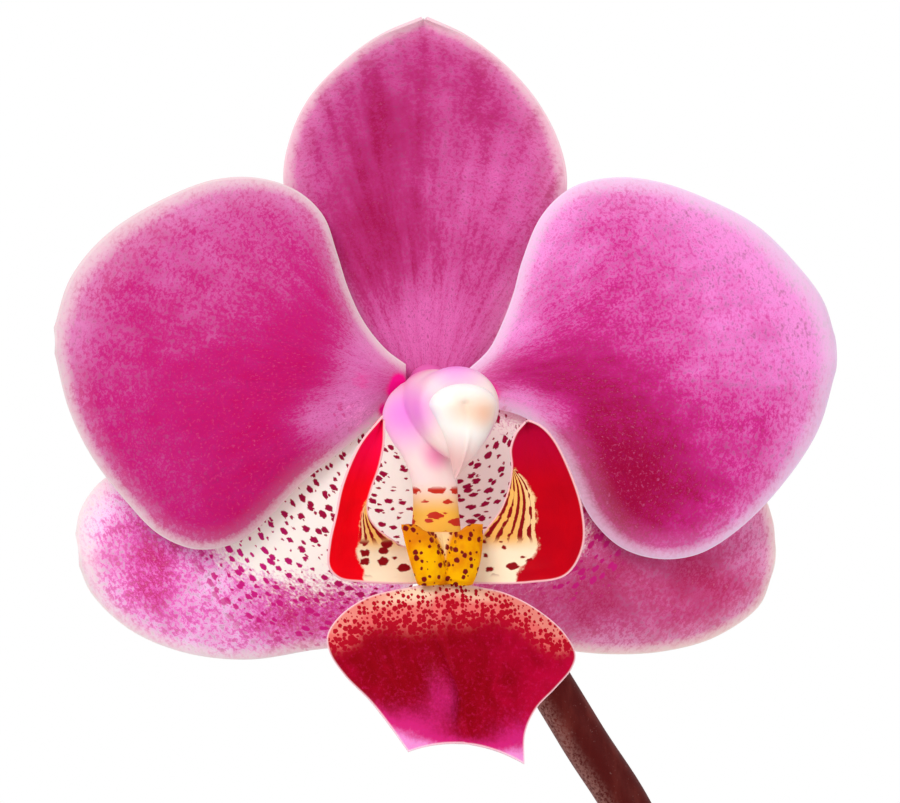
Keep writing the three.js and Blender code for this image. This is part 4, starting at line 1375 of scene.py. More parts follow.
TEPALS = (
    Tepal(
        "dorsal_sepal",
        "sepal",
        left=[
            (-7.0, 0.4), (-8.6, 5.0), (-10.6, 9.6), (-13.2, 14.2), (-15.7, 18.8), (-16.7, 23.8),
            (-15.9, 28.4), (-13.7, 33.0), (-9.6, 37.4), (-5.4, 40.4), (-0.3, 42.6),
        ],
        right=[
            (7.0, 0.4), (8.6, 5.0), (10.6, 9.6), (13.2, 14.2), (15.5, 18.8), (16.4, 23.8), (15.4, 28.6),
            (12.9, 33.3), (9.2, 37.4), (5.2, 40.4), (0.3, 42.6),
        ],
        claw=(0.0, -4.0),
        finish=DORSAL,
        root_depth=1.6,
        tip_depth=5.0,
        crown=-1.6,
        curl=-1.2,
        base_tone=0.4,
        tone=(
            Wash(-3.5, 30.0, 5.0, 0.35), Wash(-5.0, 17.0, 6.0, 0.4), Wash(-9.5, 24.0, 5.0, 0.25),
            Wash(6.0, 22.0, 7.0, -0.2), Wash(0.0, 6.0, 6.0, -0.45), Wash(-13.0, 24.0, 4.0, -0.25),
        ),
        fade=(Wash(15.0, 24.0, 9.0, 0.5), Wash(-15.0, 22.0, 7.0, 0.3)),
        seed=3.1,
    ),
    Tepal(
        "lateral_sepal_left",
        "sepal",
        left=[
            (-4.6, -1.6), (-13.0, -4.4), (-22.8, -6.6), (-31.0, -8.6), (-36.8, -10.8), (-39.4, -14.2),
            (-40.0, -17.2),
        ],
        right=[
            (-0.4, -4.0), (-0.5, -12.0), (-0.8, -20.0), (-3.2, -26.0), (-8.0, -29.6), (-13.6, -30.6),
            (-20.4, -31.6), (-27.6, -30.8), (-33.8, -28.2), (-38.2, -24.0), (-39.6, -20.8),
        ],
        claw=(0.0, -2.0),
        finish=LATERAL_LEFT,
        root_depth=0.8,
        tip_depth=6.5,
        crown=0.6,
        curl=1.2,
        base_tone=0.42,
        tone=(
            Wash(-14.0, -27.5, 6.0, 0.55), Wash(-33.0, -19.0, 5.0, 0.45), Wash(-30.0, -26.0, 4.0, 0.2),
            Wash(-24.0, -23.0, 5.0, -0.25), Wash(-37.0, -14.0, 5.0, -0.3),
        ),
        ground=(Wash(-12.0, -14.0, 9.5, 1.3), Wash(-20.0, -17.0, 5.0, 0.7), Wash(-5.0, -10.0, 8.0, 1.2)),
        flecks=(Wash(-14.0, -17.0, 11.0, 1.4), Wash(-5.0, -12.0, 8.0, 1.4)),
        fade=(Wash(-39.0, -16.0, 8.0, 0.9),),
        seed=5.3,
    ),
    Tepal(
        "lateral_sepal_right",
        "sepal",
        left=[
            (0.6, -4.0), (0.8, -13.0), (1.6, -21.0), (4.6, -27.0), (10.4, -30.2), (16.0, -30.8),
            (22.0, -31.4), (28.4, -31.2), (35.0, -29.6), (40.6, -26.0), (42.2, -22.4),
        ],
        right=[
            (4.6, -1.6), (13.0, -3.8), (24.0, -6.0), (34.0, -8.2), (40.2, -12.0), (42.2, -16.2),
            (42.5, -18.4),
        ],
        claw=(0.0, -2.0),
        finish=LATERAL_RIGHT,
        root_depth=0.8,
        tip_depth=6.5,
        crown=0.6,
        curl=1.2,
        base_tone=0.5,
        tone=(
            Wash(33.0, -22.0, 5.0, 0.4), Wash(20.0, -25.0, 5.0, 0.35), Wash(38.0, -18.0, 5.0, -0.3),
            Wash(22.0, -30.0, 4.0, -0.3),
        ),
        ground=(Wash(8.0, -12.0, 9.0, 1.4), Wash(17.0, -18.0, 3.0, 0.3)),
        flecks=(Wash(9.0, -12.0, 9.0, 1.4), Wash(18.0, -20.0, 4.5, 1.0)),
        fade=(Wash(41.0, -16.0, 7.0, 0.3),),
        seed=8.7,
    ),
    Tepal(
        "petal_left",
        "petal",
        left=[
            (-3.0, -1.6), (-6.4, -4.2), (-10.0, -7.2), (-15.2, -11.4), (-18.4, -14.8), (-22.0, -17.8),
            (-26.7, -18.7), (-31.0, -17.0), (-34.6, -13.4), (-38.6, -8.2), (-41.2, -2.8), (-42.8, 3.6),
        ],
        right=[
            (-2.9, 2.3), (-5.2, 4.0), (-7.8, 7.2), (-9.6, 11.0), (-10.9, 15.2), (-12.4, 19.4), (-15.4, 22.2),
            (-19.8, 23.6), (-24.6, 23.4), (-30.0, 21.4), (-36.8, 17.2), (-41.0, 12.2), (-42.9, 6.4),
        ],
        claw=(-3.0, 0.4),
        finish=PETAL_LEFT,
        base_tone=0.5,
        tone=(
            Wash(-15.0, 1.5, 8.0, 0.3), Wash(-20.0, -8.0, 9.0, 0.22), Wash(-30.0, 1.0, 7.0, 0.12),
            Wash(-24.0, 16.0, 9.0, -0.25), Wash(-38.0, 7.0, 7.0, -0.2), Wash(-20.0, -14.0, 7.0, 0.15),
            Wash(-8.5, 3.6, 4.0, -0.55), Wash(-9.5, -3.4, 4.0, -0.85), Wash(-14.5, -4.0, 3.0, -0.5),
        ),
        ground=(Wash(-8.4, -3.4, 3.2, 0.5),),
        flecks=(Wash(-11.0, -3.6, 4.4, 0.36),),
        stain=(
            Wash(-3.8, 0.5, 0.9, 1.2), Wash(-4.3, -0.8, 1.0, 1.2), Wash(-5.4, -2.8, 0.8, 1.2),
            Wash(-8.2, 0.6, 1.7, 0.45),
        ),
        fade=(Wash(-38.0, 14.0, 11.0, 1.1), Wash(-24.0, 23.0, 9.0, 0.5)),
        seed=1.7,
    ),
    Tepal(
        "petal_right",
        "petal",
        left=[
            (3.6, 1.0), (6.9, 4.0), (8.4, 6.8), (9.8, 10.4), (10.9, 14.4), (13.2, 19.6), (16.7, 22.8),
            (21.6, 24.0), (26.8, 23.6), (32.4, 21.8), (38.7, 18.6), (43.2, 14.4), (46.6, 10.0), (48.1, 5.8),
        ],
        right=[
            (3.6, -2.0), (8.4, -2.8), (11.5, -3.9), (15.2, -7.8), (17.0, -11.4), (19.2, -15.6), (22.6, -18.8),
            (27.0, -20.1), (31.6, -19.6), (36.2, -17.0), (41.4, -12.0), (46.0, -5.4), (48.3, 1.8),
        ],
        claw=(3.2, 0.4),
        finish=PETAL_RIGHT,
        base_tone=0.45,
        tone=(
            Wash(12.0, 0.0, 6.0, 0.35), Wash(21.0, -7.0, 9.0, 0.46), Wash(25.0, -14.0, 8.0, 0.36),
            Wash(14.0, 17.0, 6.0, -0.38), Wash(31.0, 18.0, 8.0, -0.3), Wash(12.0, 5.0, 3.0, -0.2),
            Wash(46.0, 6.0, 6.0, -0.25), Wash(36.0, 2.0, 9.0, -0.2), Wash(40.0, 12.0, 8.0, -0.25),
            Wash(9.0, 6.5, 3.0, -0.4), Wash(10.0, -2.4, 2.8, -0.9), Wash(14.5, -3.2, 2.4, -0.5),
        ),
        ground=(Wash(8.0, -2.4, 2.6, 0.5),),
        flecks=(Wash(8.6, -2.6, 3.0, 0.3),),
        stain=(Wash(7.2, -0.8, 1.2, 0.7),),
        fade=(Wash(44.0, 12.0, 13.0, 1.2), Wash(47.0, -4.0, 9.0, 0.6), Wash(24.0, 23.0, 8.0, 0.4)),
        seed=2.9,
    ),
)


# ---------------------------------------------------------------- spike and pedicel


@dataclass(frozen=True)
class StemFinish:
    """Dark stem skin with a pale speckled bloom, and a painted sheen down its lit side."""

    name: str
    dark: tuple = srgb(84, 8, 4)
    brown: tuple = srgb(112, 40, 32)
    # The colour of the painted sheen.
    sheen: tuple = srgb(150, 100, 92)
    bloom: tuple = srgb(168, 128, 120)
    surface: Surface = Surface(roughness=0.5, specular=0.14, bump=0.25, bump_depth=0.06)

    def material(self) -> Material:
        """Builds the material."""
        shader = Skin(self.name, self.surface)
        place = millimetres(shader, local=False)
        long = shader.stretched(place, (1.0, 1.0, 0.25))
        cloud = shader.noise(long, 0.35, 4.0, 0.6)
        speck = shader.noise(place, 2.6, 3.0, 0.7)
        colour = shader.blend(shader.ramp(cloud, 0.4, 0.75), self.dark, self.brown)
        # Painted sheen: a paler streak down the stem's lit side, broken up by the specks.
        around = shader.axis(uv(shader), 0)
        lit = shader.apart(around, 0.32)
        painted_sheen_side = shader.times(shader.ramp(lit, 0.04, 0.18, 0.9, 0.0), shader.ramp(speck, 0.35, 0.6))
        colour = shader.blend(painted_sheen_side, colour, self.sheen)
        mask = shader.ramp(speck, 0.62, 0.75, 0.0, 0.35)
        colour = shader.blend(mask, colour, self.bloom)
        relief = shader.plus(speck, cloud)
        return shader.finished(colour, relief)


@dataclass(frozen=True)
class Spike:
    """The arching flower stem, in the part's millimetres."""

    bark_top: float = 97.0
    foot: tuple[Point, ...] = ((2, 12, 9), (4, 21, 34), (10, 26, 92), (15, 25, 150), (14, 20, 205))
    top: tuple[Point, ...] = (
        (25.7, 28, -55),
        (18.2, 28, -42.5),
        (5.2, 28.5, -21),
        (-4.3, 28, -4),
        (-9.8, 27, 6),
    )
    root_radius: float = 3.6
    tip_radius: float = 2.7
    nodes: tuple[float, ...] = (0.16, 0.36, 0.55, 0.925)
    node_rise: float = 0.35
    node_reach: float = 0.006
    samples: int = 260

    def radius(self, t: np.ndarray | float) -> np.ndarray | float:
        """The stem's radius along it, without its nodes."""
        return self.root_radius + (self.tip_radius - self.root_radius) * t

    def points(self) -> list[Point]:
        """What the stem passes through."""
        low = [(x, y, self.bark_top + z) for x, y, z in self.foot]
        high = [(PLACE.x + x, PLACE.y + y, PLACE.z + z) for x, y, z in self.top]
        return low + high

    def build(self) -> Object:
        """Makes the stem."""
        path = smooth_path(self.points(), self.samples)
        t = np.linspace(0, 1, self.samples)
        radii = self.radius(t)
        for node in self.nodes:
            radii = radii + self.node_rise * bell(t, self.node_reach, node)
        obj = tube("spike_stem", path * MM, radii * MM, 40)
        return dressed(obj, StemFinish("spike_skin").material(), 50, "spike", "flower_spike")


@dataclass(frozen=True)
class Pedicel:
    """The flower's own stalk, ovary and receptacle."""

    surface: Surface = Surface(roughness=0.45, subsurface=0.1, bump=0.2)
    joint: float = 0.965
    samples: int = 60

    def material(self) -> Material:
        """Purple shading to green."""
        shader = Skin("pedicel_skin", self.surface)
        place = millimetres(shader)
        cloud = shader.noise(place, 0.4, 3.0)
        colour = shader.blend(shader.ramp(cloud, 0.35, 0.7), srgb(190, 96, 140), srgb(150, 146, 96))
        behind = shader.axis(place, 1)
        colour = shader.blend(shader.ramp(behind, 2.0, 7.0, 1.0, 0.0), colour, srgb(226, 100, 176))
        return shader.finished(colour, cloud)

    def build(self) -> Object:
        """Makes the stalk."""
        stem = smooth_path(Spike().points(), 400)
        foot = stem[int(self.joint * (len(stem) - 1))]
        back = PLACE.matrix().inverted() @ Vector(foot * MM)
        route = [
            tuple(back),
            (back.x * 0.7, back.y - 7, back.z * 0.5 + 2),
            (0.0, 11.2, 1.2), (0.0, 5.0, 0.1), (0.0, 1.0, 0.0),
        ]
        radii = 1.7 + 0.7 * np.linspace(0, 1, self.samples) ** 2
        path = PLACE.to_world(smooth_path(route, self.samples))
        obj = tube("pedicel_stalk", path, radii * MM, 36)
        return dressed(obj, self.material(), 50, "pedicel", "pedicel")


# ---------------------------------------------------------------- pot


@dataclass(frozen=True)
class Glaze:
    """Off-white glaze over stoneware, bare on the foot."""

    name: str = "pot_glaze"
    milk: tuple = srgb(236, 231, 219)
    warm: tuple = srgb(224, 214, 196)
    speck: tuple = srgb(150, 126, 98)
    clay: tuple = srgb(176, 132, 96)
    surface: Surface = Surface(roughness=0.24, coat=0.35, bump=0.25, bump_depth=0.12)

    def material(self) -> Material:
        """Builds the material."""
        shader = Skin(self.name, self.surface)
        place = millimetres(shader, local=False)
        height = shader.axis(place, 2)
        cloud = shader.noise(place, 0.035, 4.0, 0.6)
        throwing = shader.noise(shader.stretched(place, (0.02, 0.02, 0.45)), 1.0, 3.0, 0.55)
        pooled = shader.ramp(shader.plus(cloud, throwing, 0.4), 0.55, 0.95)
        colour = shader.blend(pooled, self.milk, self.warm)
        speck = shader.ramp(shader.noise(place, 1.1, 2.0, 0.7), 0.7, 0.76, 0.0, 0.55)
        colour = shader.blend(speck, colour, self.speck)
        wander = shader.plus(height, cloud, 1.6)
        bare = shader.ramp(wander, 2.2, 3.0, 1.0, 0.0)
        colour = shader.blend(bare, colour, self.clay)
        shader.feed(shader.main.inputs["Roughness"], shader.ramp(bare, 0.0, 1.0, 0.24, 0.85))
        shader.feed(shader.main.inputs["Coat Weight"], shader.ramp(bare, 0.0, 1.0, 0.35, 0.0))
        relief = shader.plus(throwing, speck, 0.15)
        return shader.finished(colour, relief)


@dataclass(frozen=True)
class Pot:
    """A tapered round pot with a thicker band under its rim and holes in its floor, in millimetres."""

    foot: float = 45.0
    shoulder: float = 59.0
    wall: float = 4.5
    floor: float = 6.0
    band: float = 16.0
    proud: float = 2.5
    hollow_foot: float = 0.8
    drain_radius: float = 5.0
    drain_circle: float = 24.0
    drains: int = 4
    sides: int = 128

    def height(self) -> float:
        """The pot's height, from the frame."""
        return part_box("pot")[1].z / MM

    def outer(self, z: float) -> float:
        """The outside radius of the tapered wall at a height."""
        return self.foot + (self.shoulder - self.foot) * z / self.height()

    def profile(self) -> list[Point]:
        """The wall as (radius, height) from the foot ring up, over the rim and down inside."""
        top, floor = self.height(), self.floor
        low = top - self.band
        steps = np.linspace(3.0, low - 2.0, 8)
        inner = np.linspace(top - 2.0, floor + 3.0, 8)
        return [
            (self.foot - 6.0, self.hollow_foot),
            (self.foot - 4.0, 0.0),
            (self.foot, 0.0),
            *[(self.outer(z), z) for z in steps],
            (self.outer(low), low),
            (self.outer(low) + self.proud, low + 1.6),
            (self.outer(top) + self.proud, top),
            (self.outer(top) - self.wall, top),
            *[(self.outer(z) - self.wall, z) for z in inner],
            (self.outer(floor) - self.wall - 2.5, floor),
        ]

    def turned(self) -> Object:
        """Draws the wall up from a ring, edge by edge, and closes the floor inside and below."""
        rings = self.profile()
        radius, height = rings[0]
        deselect()
        bpy.ops.mesh.primitive_circle_add(
            vertices=self.sides, radius=radius * MM, location=(0, 0, height * MM), fill_type="NGON"
        )
        obj = bpy.context.object
        bpy.ops.object.transform_apply(location=True)
        bpy.ops.object.mode_set(mode="EDIT")
        bpy.ops.mesh.select_mode(type="EDGE")
        bpy.ops.mesh.select_all(action="SELECT")
        for (r0, z0), (r1, z1) in zip(rings[:-1], rings[1:], strict=True):
            bpy.ops.mesh.extrude_edges_move(TRANSFORM_OT_translate={"value": (0, 0, (z1 - z0) * MM)})
            share = r1 / r0
            bpy.ops.transform.resize(value=(share, share, 1), center_override=(0, 0, z1 * MM))
        bpy.ops.mesh.edge_face_add()
        bpy.ops.mesh.select_all(action="SELECT")
        bpy.ops.mesh.normals_make_consistent(inside=False)
        bpy.ops.object.mode_set(mode="OBJECT")
        obj.name = obj.data.name = "pot_glazed"
        return obj

    def drill(self, obj: Object) -> None:
        """Cuts the drain holes."""
        for i in range(self.drains):
            angle = 2 * math.pi * (i + 0.5) / self.drains
            x, y = polar(self.drain_circle, angle)
            deselect()
            bpy.ops.mesh.primitive_cylinder_add(
                vertices=32,
                radius=self.drain_radius * MM,
                depth=4 * self.floor * MM,
                location=(x * MM, y * MM, 0),
            )
            cutter = bpy.context.object
            apply_modifier(obj, "BOOLEAN", operation="DIFFERENCE", object=cutter, solver="EXACT")
            bpy.data.objects.remove(cutter)

    def build(self) -> Object:
        """Makes the pot."""
        obj = self.turned()
        self.drill(obj)
        round_edges(obj, 1.3, 4, angle_limit=0.6)
        return dressed(obj, Glaze().material(), 35, "pot_glaze", "pot")


# ---------------------------------------------------------------- bark


@dataclass(frozen=True)
class BarkFinish:
    """Dry conifer bark: red-brown layers, grey weathered faces and dark clefts."""

    name: str
    deep: tuple = srgb(52, 30, 20)
    brown: tuple = srgb(110, 68, 42)
    tan: tuple = srgb(164, 112, 74)
    grey: tuple = srgb(128, 112, 98)
    surface: Surface = Surface(roughness=0.95, specular=0.2, bump=0.9, bump_depth=0.5)

    def material(self) -> Material:
        """Builds the material."""
        shader = Skin(self.name, self.surface)
        place = millimetres(shader, local=False)
        layers = shader.noise(shader.stretched(place, (0.1, 0.1, 0.8)), 1.0, 5.0, 0.65)
        patch = shader.noise(place, 0.11, 2.0, 0.5)
        grit = shader.noise(place, 1.3, 4.0, 0.7)
        colour = shader.blend(shader.ramp(layers, 0.35, 0.6), self.deep, self.brown)
        colour = shader.blend(shader.ramp(patch, 0.45, 0.65), colour, self.tan)
        colour = shader.blend(shader.ramp(grit, 0.5, 0.75, 0.0, 0.6), colour, self.grey)
        colour = shader.blend(shader.ramp(grit, 0.28, 0.42, 0.75, 0.0), colour, self.deep)
        relief = shader.plus(layers, grit, 0.6)
        return shader.finished(colour, relief)


@dataclass(frozen=True)
class BarkBed:
    """The pot's fill: one lumpy body, with small chips strewn over its top, in millimetres."""

    bottom: float = 6.3
    gap: float = 0.5
    lumps: float = 1.6
    sunk: float = 0.6
    sides: int = 144
    strewn: int = 330
    shapes: int = 8
    seed: int = 11

    def inside(self, z: float) -> float:
        """The radius that the fill reaches at a height."""
        pot = Pot()
        return pot.outer(z) - pot.wall - self.gap

    def fill(self) -> Object:
        """The body of the fill."""
        top = bark_top() - self.sunk
        low, high = self.inside(self.bottom), self.inside(top)
        base = [(low * share, self.bottom) for share in np.linspace(0, 1, 10)]
        side = [(self.inside(z), z) for z in np.linspace(self.bottom, top, 14)[1:-1]]
        bed = [(high * share, top) for share in np.linspace(1, 0, 46)]
        angles = turns(self.sides)
        rings = []
        for radius, z in base + side + bed:
            x, y = radius * np.cos(angles), radius * np.sin(angles)
            rise = np.zeros_like(x)
            if z == top:
                spots = [Vector((a * 0.16, b * 0.16, 3.0)) for a, b in zip(x, y, strict=True)]
                swell = [noise.fractal(spot, 1.0, 2.0, 3) for spot in spots]
                rise = self.lumps * (np.array(swell) - 0.5)
                rise[-1] = rise[0]
            rings.append(np.stack([x, y, z + rise], 1))
        return closed_grid("bark_fill", np.array(rings) * MM)

    def crumb(self, rng: np.random.Generator) -> Object:
        """One small chip: a slab with its corners knocked about."""
        obj = cut_cube(1)
        for vertex in obj.data.vertices:
            x, y, z = vertex.co
            corner = 1 - 0.22 * (abs(x) + abs(y) > 0.9)
            vertex.co = Vector((x * corner, y * corner, z)) + Vector(rng.uniform(-0.09, 0.09, 3))
        return obj

    def strew(self) -> list[Object]:
        """Copies of a few chips, turned and laid over the bed."""
        rng = np.random.default_rng(self.seed)
        models = [self.crumb(rng) for _ in range(self.shapes)]
        top = bark_top()
        reach = self.inside(top) - 4.5
        pieces = []
        for i in range(self.strewn):
            mesh = models[i % self.shapes].data.copy()
            radius, angle = reach * math.sqrt(rng.uniform(0.03, 1.0)), rng.uniform(0, 2 * math.pi)
            size = (rng.uniform(5, 12), rng.uniform(4, 7.5), rng.uniform(1.6, 3.6))
            turn = Matrix.Rotation(rng.uniform(0, 2 * math.pi), 4, "Z")
            tilt = Matrix.Rotation(rng.normal(0, 0.28), 4, "X") @ Matrix.Rotation(rng.normal(0, 0.22), 4, "Y")
            spot = (*polar(radius, angle), top - self.sunk + rng.uniform(-1.0, 1.6))
            scale = Matrix.Diagonal((*size, 1.0))
            mesh.transform(Matrix.Scale(MM, 4) @ Matrix.Translation(spot) @ turn @ tilt @ scale)
            piece = bpy.data.objects.new("bark_crumb", mesh)
            bpy.context.collection.objects.link(piece)
            pieces.append(piece)
        for model in models:
            bpy.data.objects.remove(model)
        return pieces

    def build(self) -> Object:
        """Makes the fill with its strewn chips."""
        obj = joined("bark_bed", [self.fill(), *self.strew()])
        return dressed(obj, BarkFinish("bark_bed_chips").material(), 35, "bark", "potting_bark")


@dataclass(frozen=True)
class BarkChips:
    """The ten large chips that lie round the bed, in millimetres."""

    count: int = 10
    length: float = 16.0
    width: float = 10.0
    thickness: float = 6.0
    ring: float = 38.0
    front_gap: float = 1.15

    def chip(self, number: int, finish: Material) -> Object:
        """One chip: a slab in cracked layers with worn corners."""
        angle = -math.pi / 2 + self.front_gap / 2
        angle += number / (self.count - 1) * (2 * math.pi - self.front_gap)
        wave = math.sin(7 * number + 1)
        radius = self.ring + 5 * math.cos(5 * number)
        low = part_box(f"bark_chip_{number + 1}")[0].z / MM
        deep = self.thickness + wave
        obj = cut_cube(11)
        obj.name = obj.data.name = f"bark_slab_{number + 1}"
        turn = Matrix.Rotation(angle + 1.3 * wave, 4, "Z")
        size = Vector((self.length + 3 * wave, self.width - 2 * wave, deep))
        for vertex in obj.data.vertices:
            share = vertex.co * 2
            painted_sheen_side = 1 - 0.13 * (abs(share.x) ** 4 * abs(share.y) ** 4) - 0.06 * abs(share.z) ** 4
            spot = Vector([a * b for a, b in zip(vertex.co, size)]) * painted_sheen_side
            key = spot * 0.23 + Vector((number * 5.3, 0, 0))
            layer = noise.noise(Vector((spot.x * 0.05, spot.y * 0.05 + number, spot.z * 0.9)))
            push = 0.85 * noise.fractal(key, 1.0, 2.0, 4) + 0.7 * layer
            out = Vector((share.x, share.y, 0.35 * share.z)).normalized()
            spot = spot + out * push
            spot.z = max(spot.z, -deep / 2)
            place = turn @ spot + Vector((*polar(radius, angle), low + deep / 2))
            vertex.co = place * MM
        return dressed(obj, finish, 28, "bark", f"bark_chip_{number + 1}")

    def build(self) -> list[Object]:
        """Makes the chips."""
        finish = BarkFinish("bark_slabs", tan=srgb(178, 122, 80)).material()
        return [self.chip(number, finish) for number in range(self.count)]


# ---------------------------------------------------------------- crown and leaves


@dataclass(frozen=True)
class LeafFinish:
    """Thick waxy leaf skin: dark above with a sunken midrib, paler and flushed beneath."""

    name: str = "leaf_skin"
    dark: tuple = srgb(30, 66, 24)
    fresh: tuple = srgb(66, 108, 40)
    rib: tuple = srgb(104, 140, 66)
    beneath: tuple = srgb(112, 128, 76)
    flush: tuple = srgb(96, 52, 62)
    surface: Surface = Surface(roughness=0.36, specular=0.5, coat=0.12, bump=0.3, bump_depth=0.15)

    def material(self) -> Material:
        """Builds the material."""
        shader = Skin(self.name, self.surface)
        run = attribute(shader, "leaf", "Vector")
        across, along, _ = shader.add("SeparateXYZ", {0: run}).outputs
        veins = shader.noise(shader.stretched(run, (1.5, 0.03, 1.0)), 1.0, 3.0, 0.6)
        cloud = shader.noise(run, 0.05, 3.0, 0.55)
        cells = shader.noise(run, 1.6, 3.0, 0.7)
        tone = shader.plus(cloud, shader.sway(veins, 0.5))
        colour = shader.blend(shader.ramp(tone, 0.3, 0.85), self.dark, self.fresh)
        off = shader.maths("ABSOLUTE", across)
        rib = shader.ramp(off, 0.35, 1.3, 0.7, 0.0)
        colour = shader.blend(rib, colour, self.rib)
        young = shader.ramp(along, 0.0, 26.0, 0.55, 0.0)
        colour = shader.blend(young, colour, self.rib)
        fleck = shader.ramp(cells, 0.66, 0.78, 0.0, 0.22)
        colour = shader.blend(fleck, colour, self.beneath)
        under = shader.ramp(attribute(shader, "under"), 0.2, 0.8)
        flushed = shader.blend(shader.ramp(cloud, 0.4, 0.7), self.beneath, self.flush)
        colour = shader.blend(under, colour, flushed)
        shader.feed(shader.main.inputs["Roughness"], shader.ramp(under, 0.0, 1.0, 0.36, 0.6))
        relief = shader.plus(veins, cells, 0.35)
        return shader.finished(colour, relief)


@dataclass(frozen=True)
class Leaf:
    """One strap leaf that climbs from the crown and arches over, in millimetres."""

    number: int
    side: Side
    turn: float
    height: float
    reach: float
    width: float
    climb: float
    droop: float
    thickness: float = 1.8
    root_width: float = 17.0
    root_offset: float = 2.0
    bends: tuple[Point, ...] = ((0.22, 0.85), (0.62, 1.25))
    groove: float = 1.0
    rows: int = 110
    columns: int = 44

    def midrib(self) -> np.ndarray:
        """The middle line as samples evenly spaced along it."""
        root = bark_top() + self.height
        bend = [(self.reach * out, 0, root + self.climb * up) for out, up in self.bends]
        ends = [(self.root_offset, 0, root), *bend, (self.reach, 0, root + self.climb - self.droop)]
        p = np.array(ends, float)
        t = np.linspace(0, 1, 400)[:, None]
        dense = (1 - t) ** 3 * p[0] + 3 * t * (1 - t) ** 2 * p[1] + 3 * t**2 * (1 - t) * p[2] + t**3 * p[3]
        return evenly(dense, self.rows + 1)

    def half_width(self, t: np.ndarray) -> np.ndarray:
        """Half the blade's width along the leaf."""
        blade = self.root_width + (self.width - self.root_width) * smoothstep(0.0, 0.5, t)
        past = np.maximum(0.0, t - 0.5) / 0.501
        return blade / 2 * np.sqrt(np.maximum(1 - past**2.6, 0.0))

    def build(self, finish: Material) -> Object:
        """Makes the leaf."""
        t = np.linspace(0, 1, self.rows + 1)[:, None]
        across = np.linspace(-1, 1, self.columns + 1)[None, :]
        half = self.half_width(t)
        off = across * half
        line = self.midrib()
        channel = 0.306 * (1 - t) + 0.072
        rise = channel * half * across**2 - self.groove * bell(off, 1.7)
        out = line[:, :1] + 0 * off
        wave = rippled(out, off, 0.03, self.number * 3.7)
        rise = rise + 1.3 * wave * across**2 * smoothstep(0.15, 0.5, t)
        sheet = np.stack([out, off, line[:, 2:] + rise], -1)
        heading = math.radians(self.turn) + (math.pi if self.side is Side.LEFT else 0.0)
        turn = np.array(Matrix.Rotation(heading, 3, "Z"))
        obj = new_grid(f"leaf_blade_{self.number}", sheet @ turn.T * MM)
        length = t * np.linalg.norm(np.diff(line, axis=0), axis=1).sum()
        set_attribute(obj, "leaf_across", off)
        set_attribute(obj, "leaf_along", length + 0 * off)
        join_vector(obj, "leaf", "leaf_across", "leaf_along")
        edge = np.minimum((1 - np.abs(across)) * half, (1 - t) * self.reach)
        thicken(obj, 0.35 + 0.65 * smoothstep(0.0, 5.0, edge), self.thickness)
        round_edges(obj, 0.22, 2)
        self.mark_underside(obj)
        return dressed(obj, finish, 45, "leaf", f"leaf_{self.number}")

    def mark_underside(self, obj: Object) -> None:
        """Stores one on the points that face down and zero on those that face up."""
        layer = obj.data.attributes.new("under", "FLOAT", "POINT")
        facing = np.zeros(len(obj.data.vertices) * 3)
        obj.data.vertex_normals.foreach_get("vector", facing)
        layer.data.foreach_set("value", (facing.reshape(-1, 3)[:, 2] < 0).astype(float))


LEAVES = (
    Leaf(1, Side.RIGHT, turn=-9, height=9, reach=158, width=62, climb=24, droop=46),
    Leaf(2, Side.LEFT, turn=7, height=12, reach=150, width=60, climb=30, droop=40),
    Leaf(3, Side.RIGHT, turn=8, height=20, reach=126, width=55, climb=46, droop=22),
    Leaf(4, Side.LEFT, turn=-8, height=24, reach=112, width=50, climb=50, droop=12),
    Leaf(5, Side.RIGHT, turn=2, height=32, reach=66, width=34, climb=56, droop=0),
)


@dataclass(frozen=True)
class Crown:
    """The short upright stem, ringed by the bases of old leaves, in millimetres."""

    half_x: float = 6.5
    half_y: float = 9.5
    top_share: float = 0.62
    ring_step: float = 4.6
    ring_rise: float = 0.5
    cap: float = 3.0

    def material(self) -> Material:
        """Green above, brown and dry in the bark."""
        surface = Surface(roughness=0.6, specular=0.35, bump=0.4, bump_depth=0.25)
        shader = Skin("crown_sheaths", surface)
        place = millimetres(shader, local=False)
        height = shader.axis(place, 2)
        fibre = shader.noise(shader.stretched(place, (1.2, 1.2, 0.12)), 1.0, 4.0, 0.6)
        wander = shader.plus(height, fibre, 14.0)
        colour = shader.blend(shader.ramp(wander, 100.0, 120.0), srgb(104, 84, 52), srgb(92, 124, 56))
        colour = shader.blend(shader.ramp(fibre, 0.5, 0.7, 0.0, 0.5), colour, srgb(150, 158, 96))
        return shader.finished(colour, fibre)

    def build(self) -> Object:
        """Makes the stem."""
        low, high = (corner.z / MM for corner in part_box("crown_stem"))
        rows, sides = 90, 64
        share = np.linspace(0, 1, rows)
        z = low + (high - low) * share
        taper = 1 - (1 - self.top_share) * share**2
        ringed = (z - low) / self.ring_step % 1.0
        swell = self.ring_rise * (ringed**3 - 0.35)
        closing = np.sqrt(np.clip((high - z) / self.cap, 0.0, 1.0))
        angles = turns(sides)
        rings = [np.tile([0.0, 0.0, low], (sides + 1, 1))]
        for k, level in enumerate(z):
            a = (self.half_x * taper[k] + swell[k]) * closing[k]
            b = (self.half_y * taper[k] + swell[k]) * closing[k]
            rings.append(np.stack([a * np.cos(angles), b * np.sin(angles), np.full(sides + 1, level)], 1))
        obj = closed_grid("crown_sheaths", np.array(rings) * MM)
        return dressed(obj, self.material(), 50, "leaf", "crown_stem")


# ---------------------------------------------------------------- roots


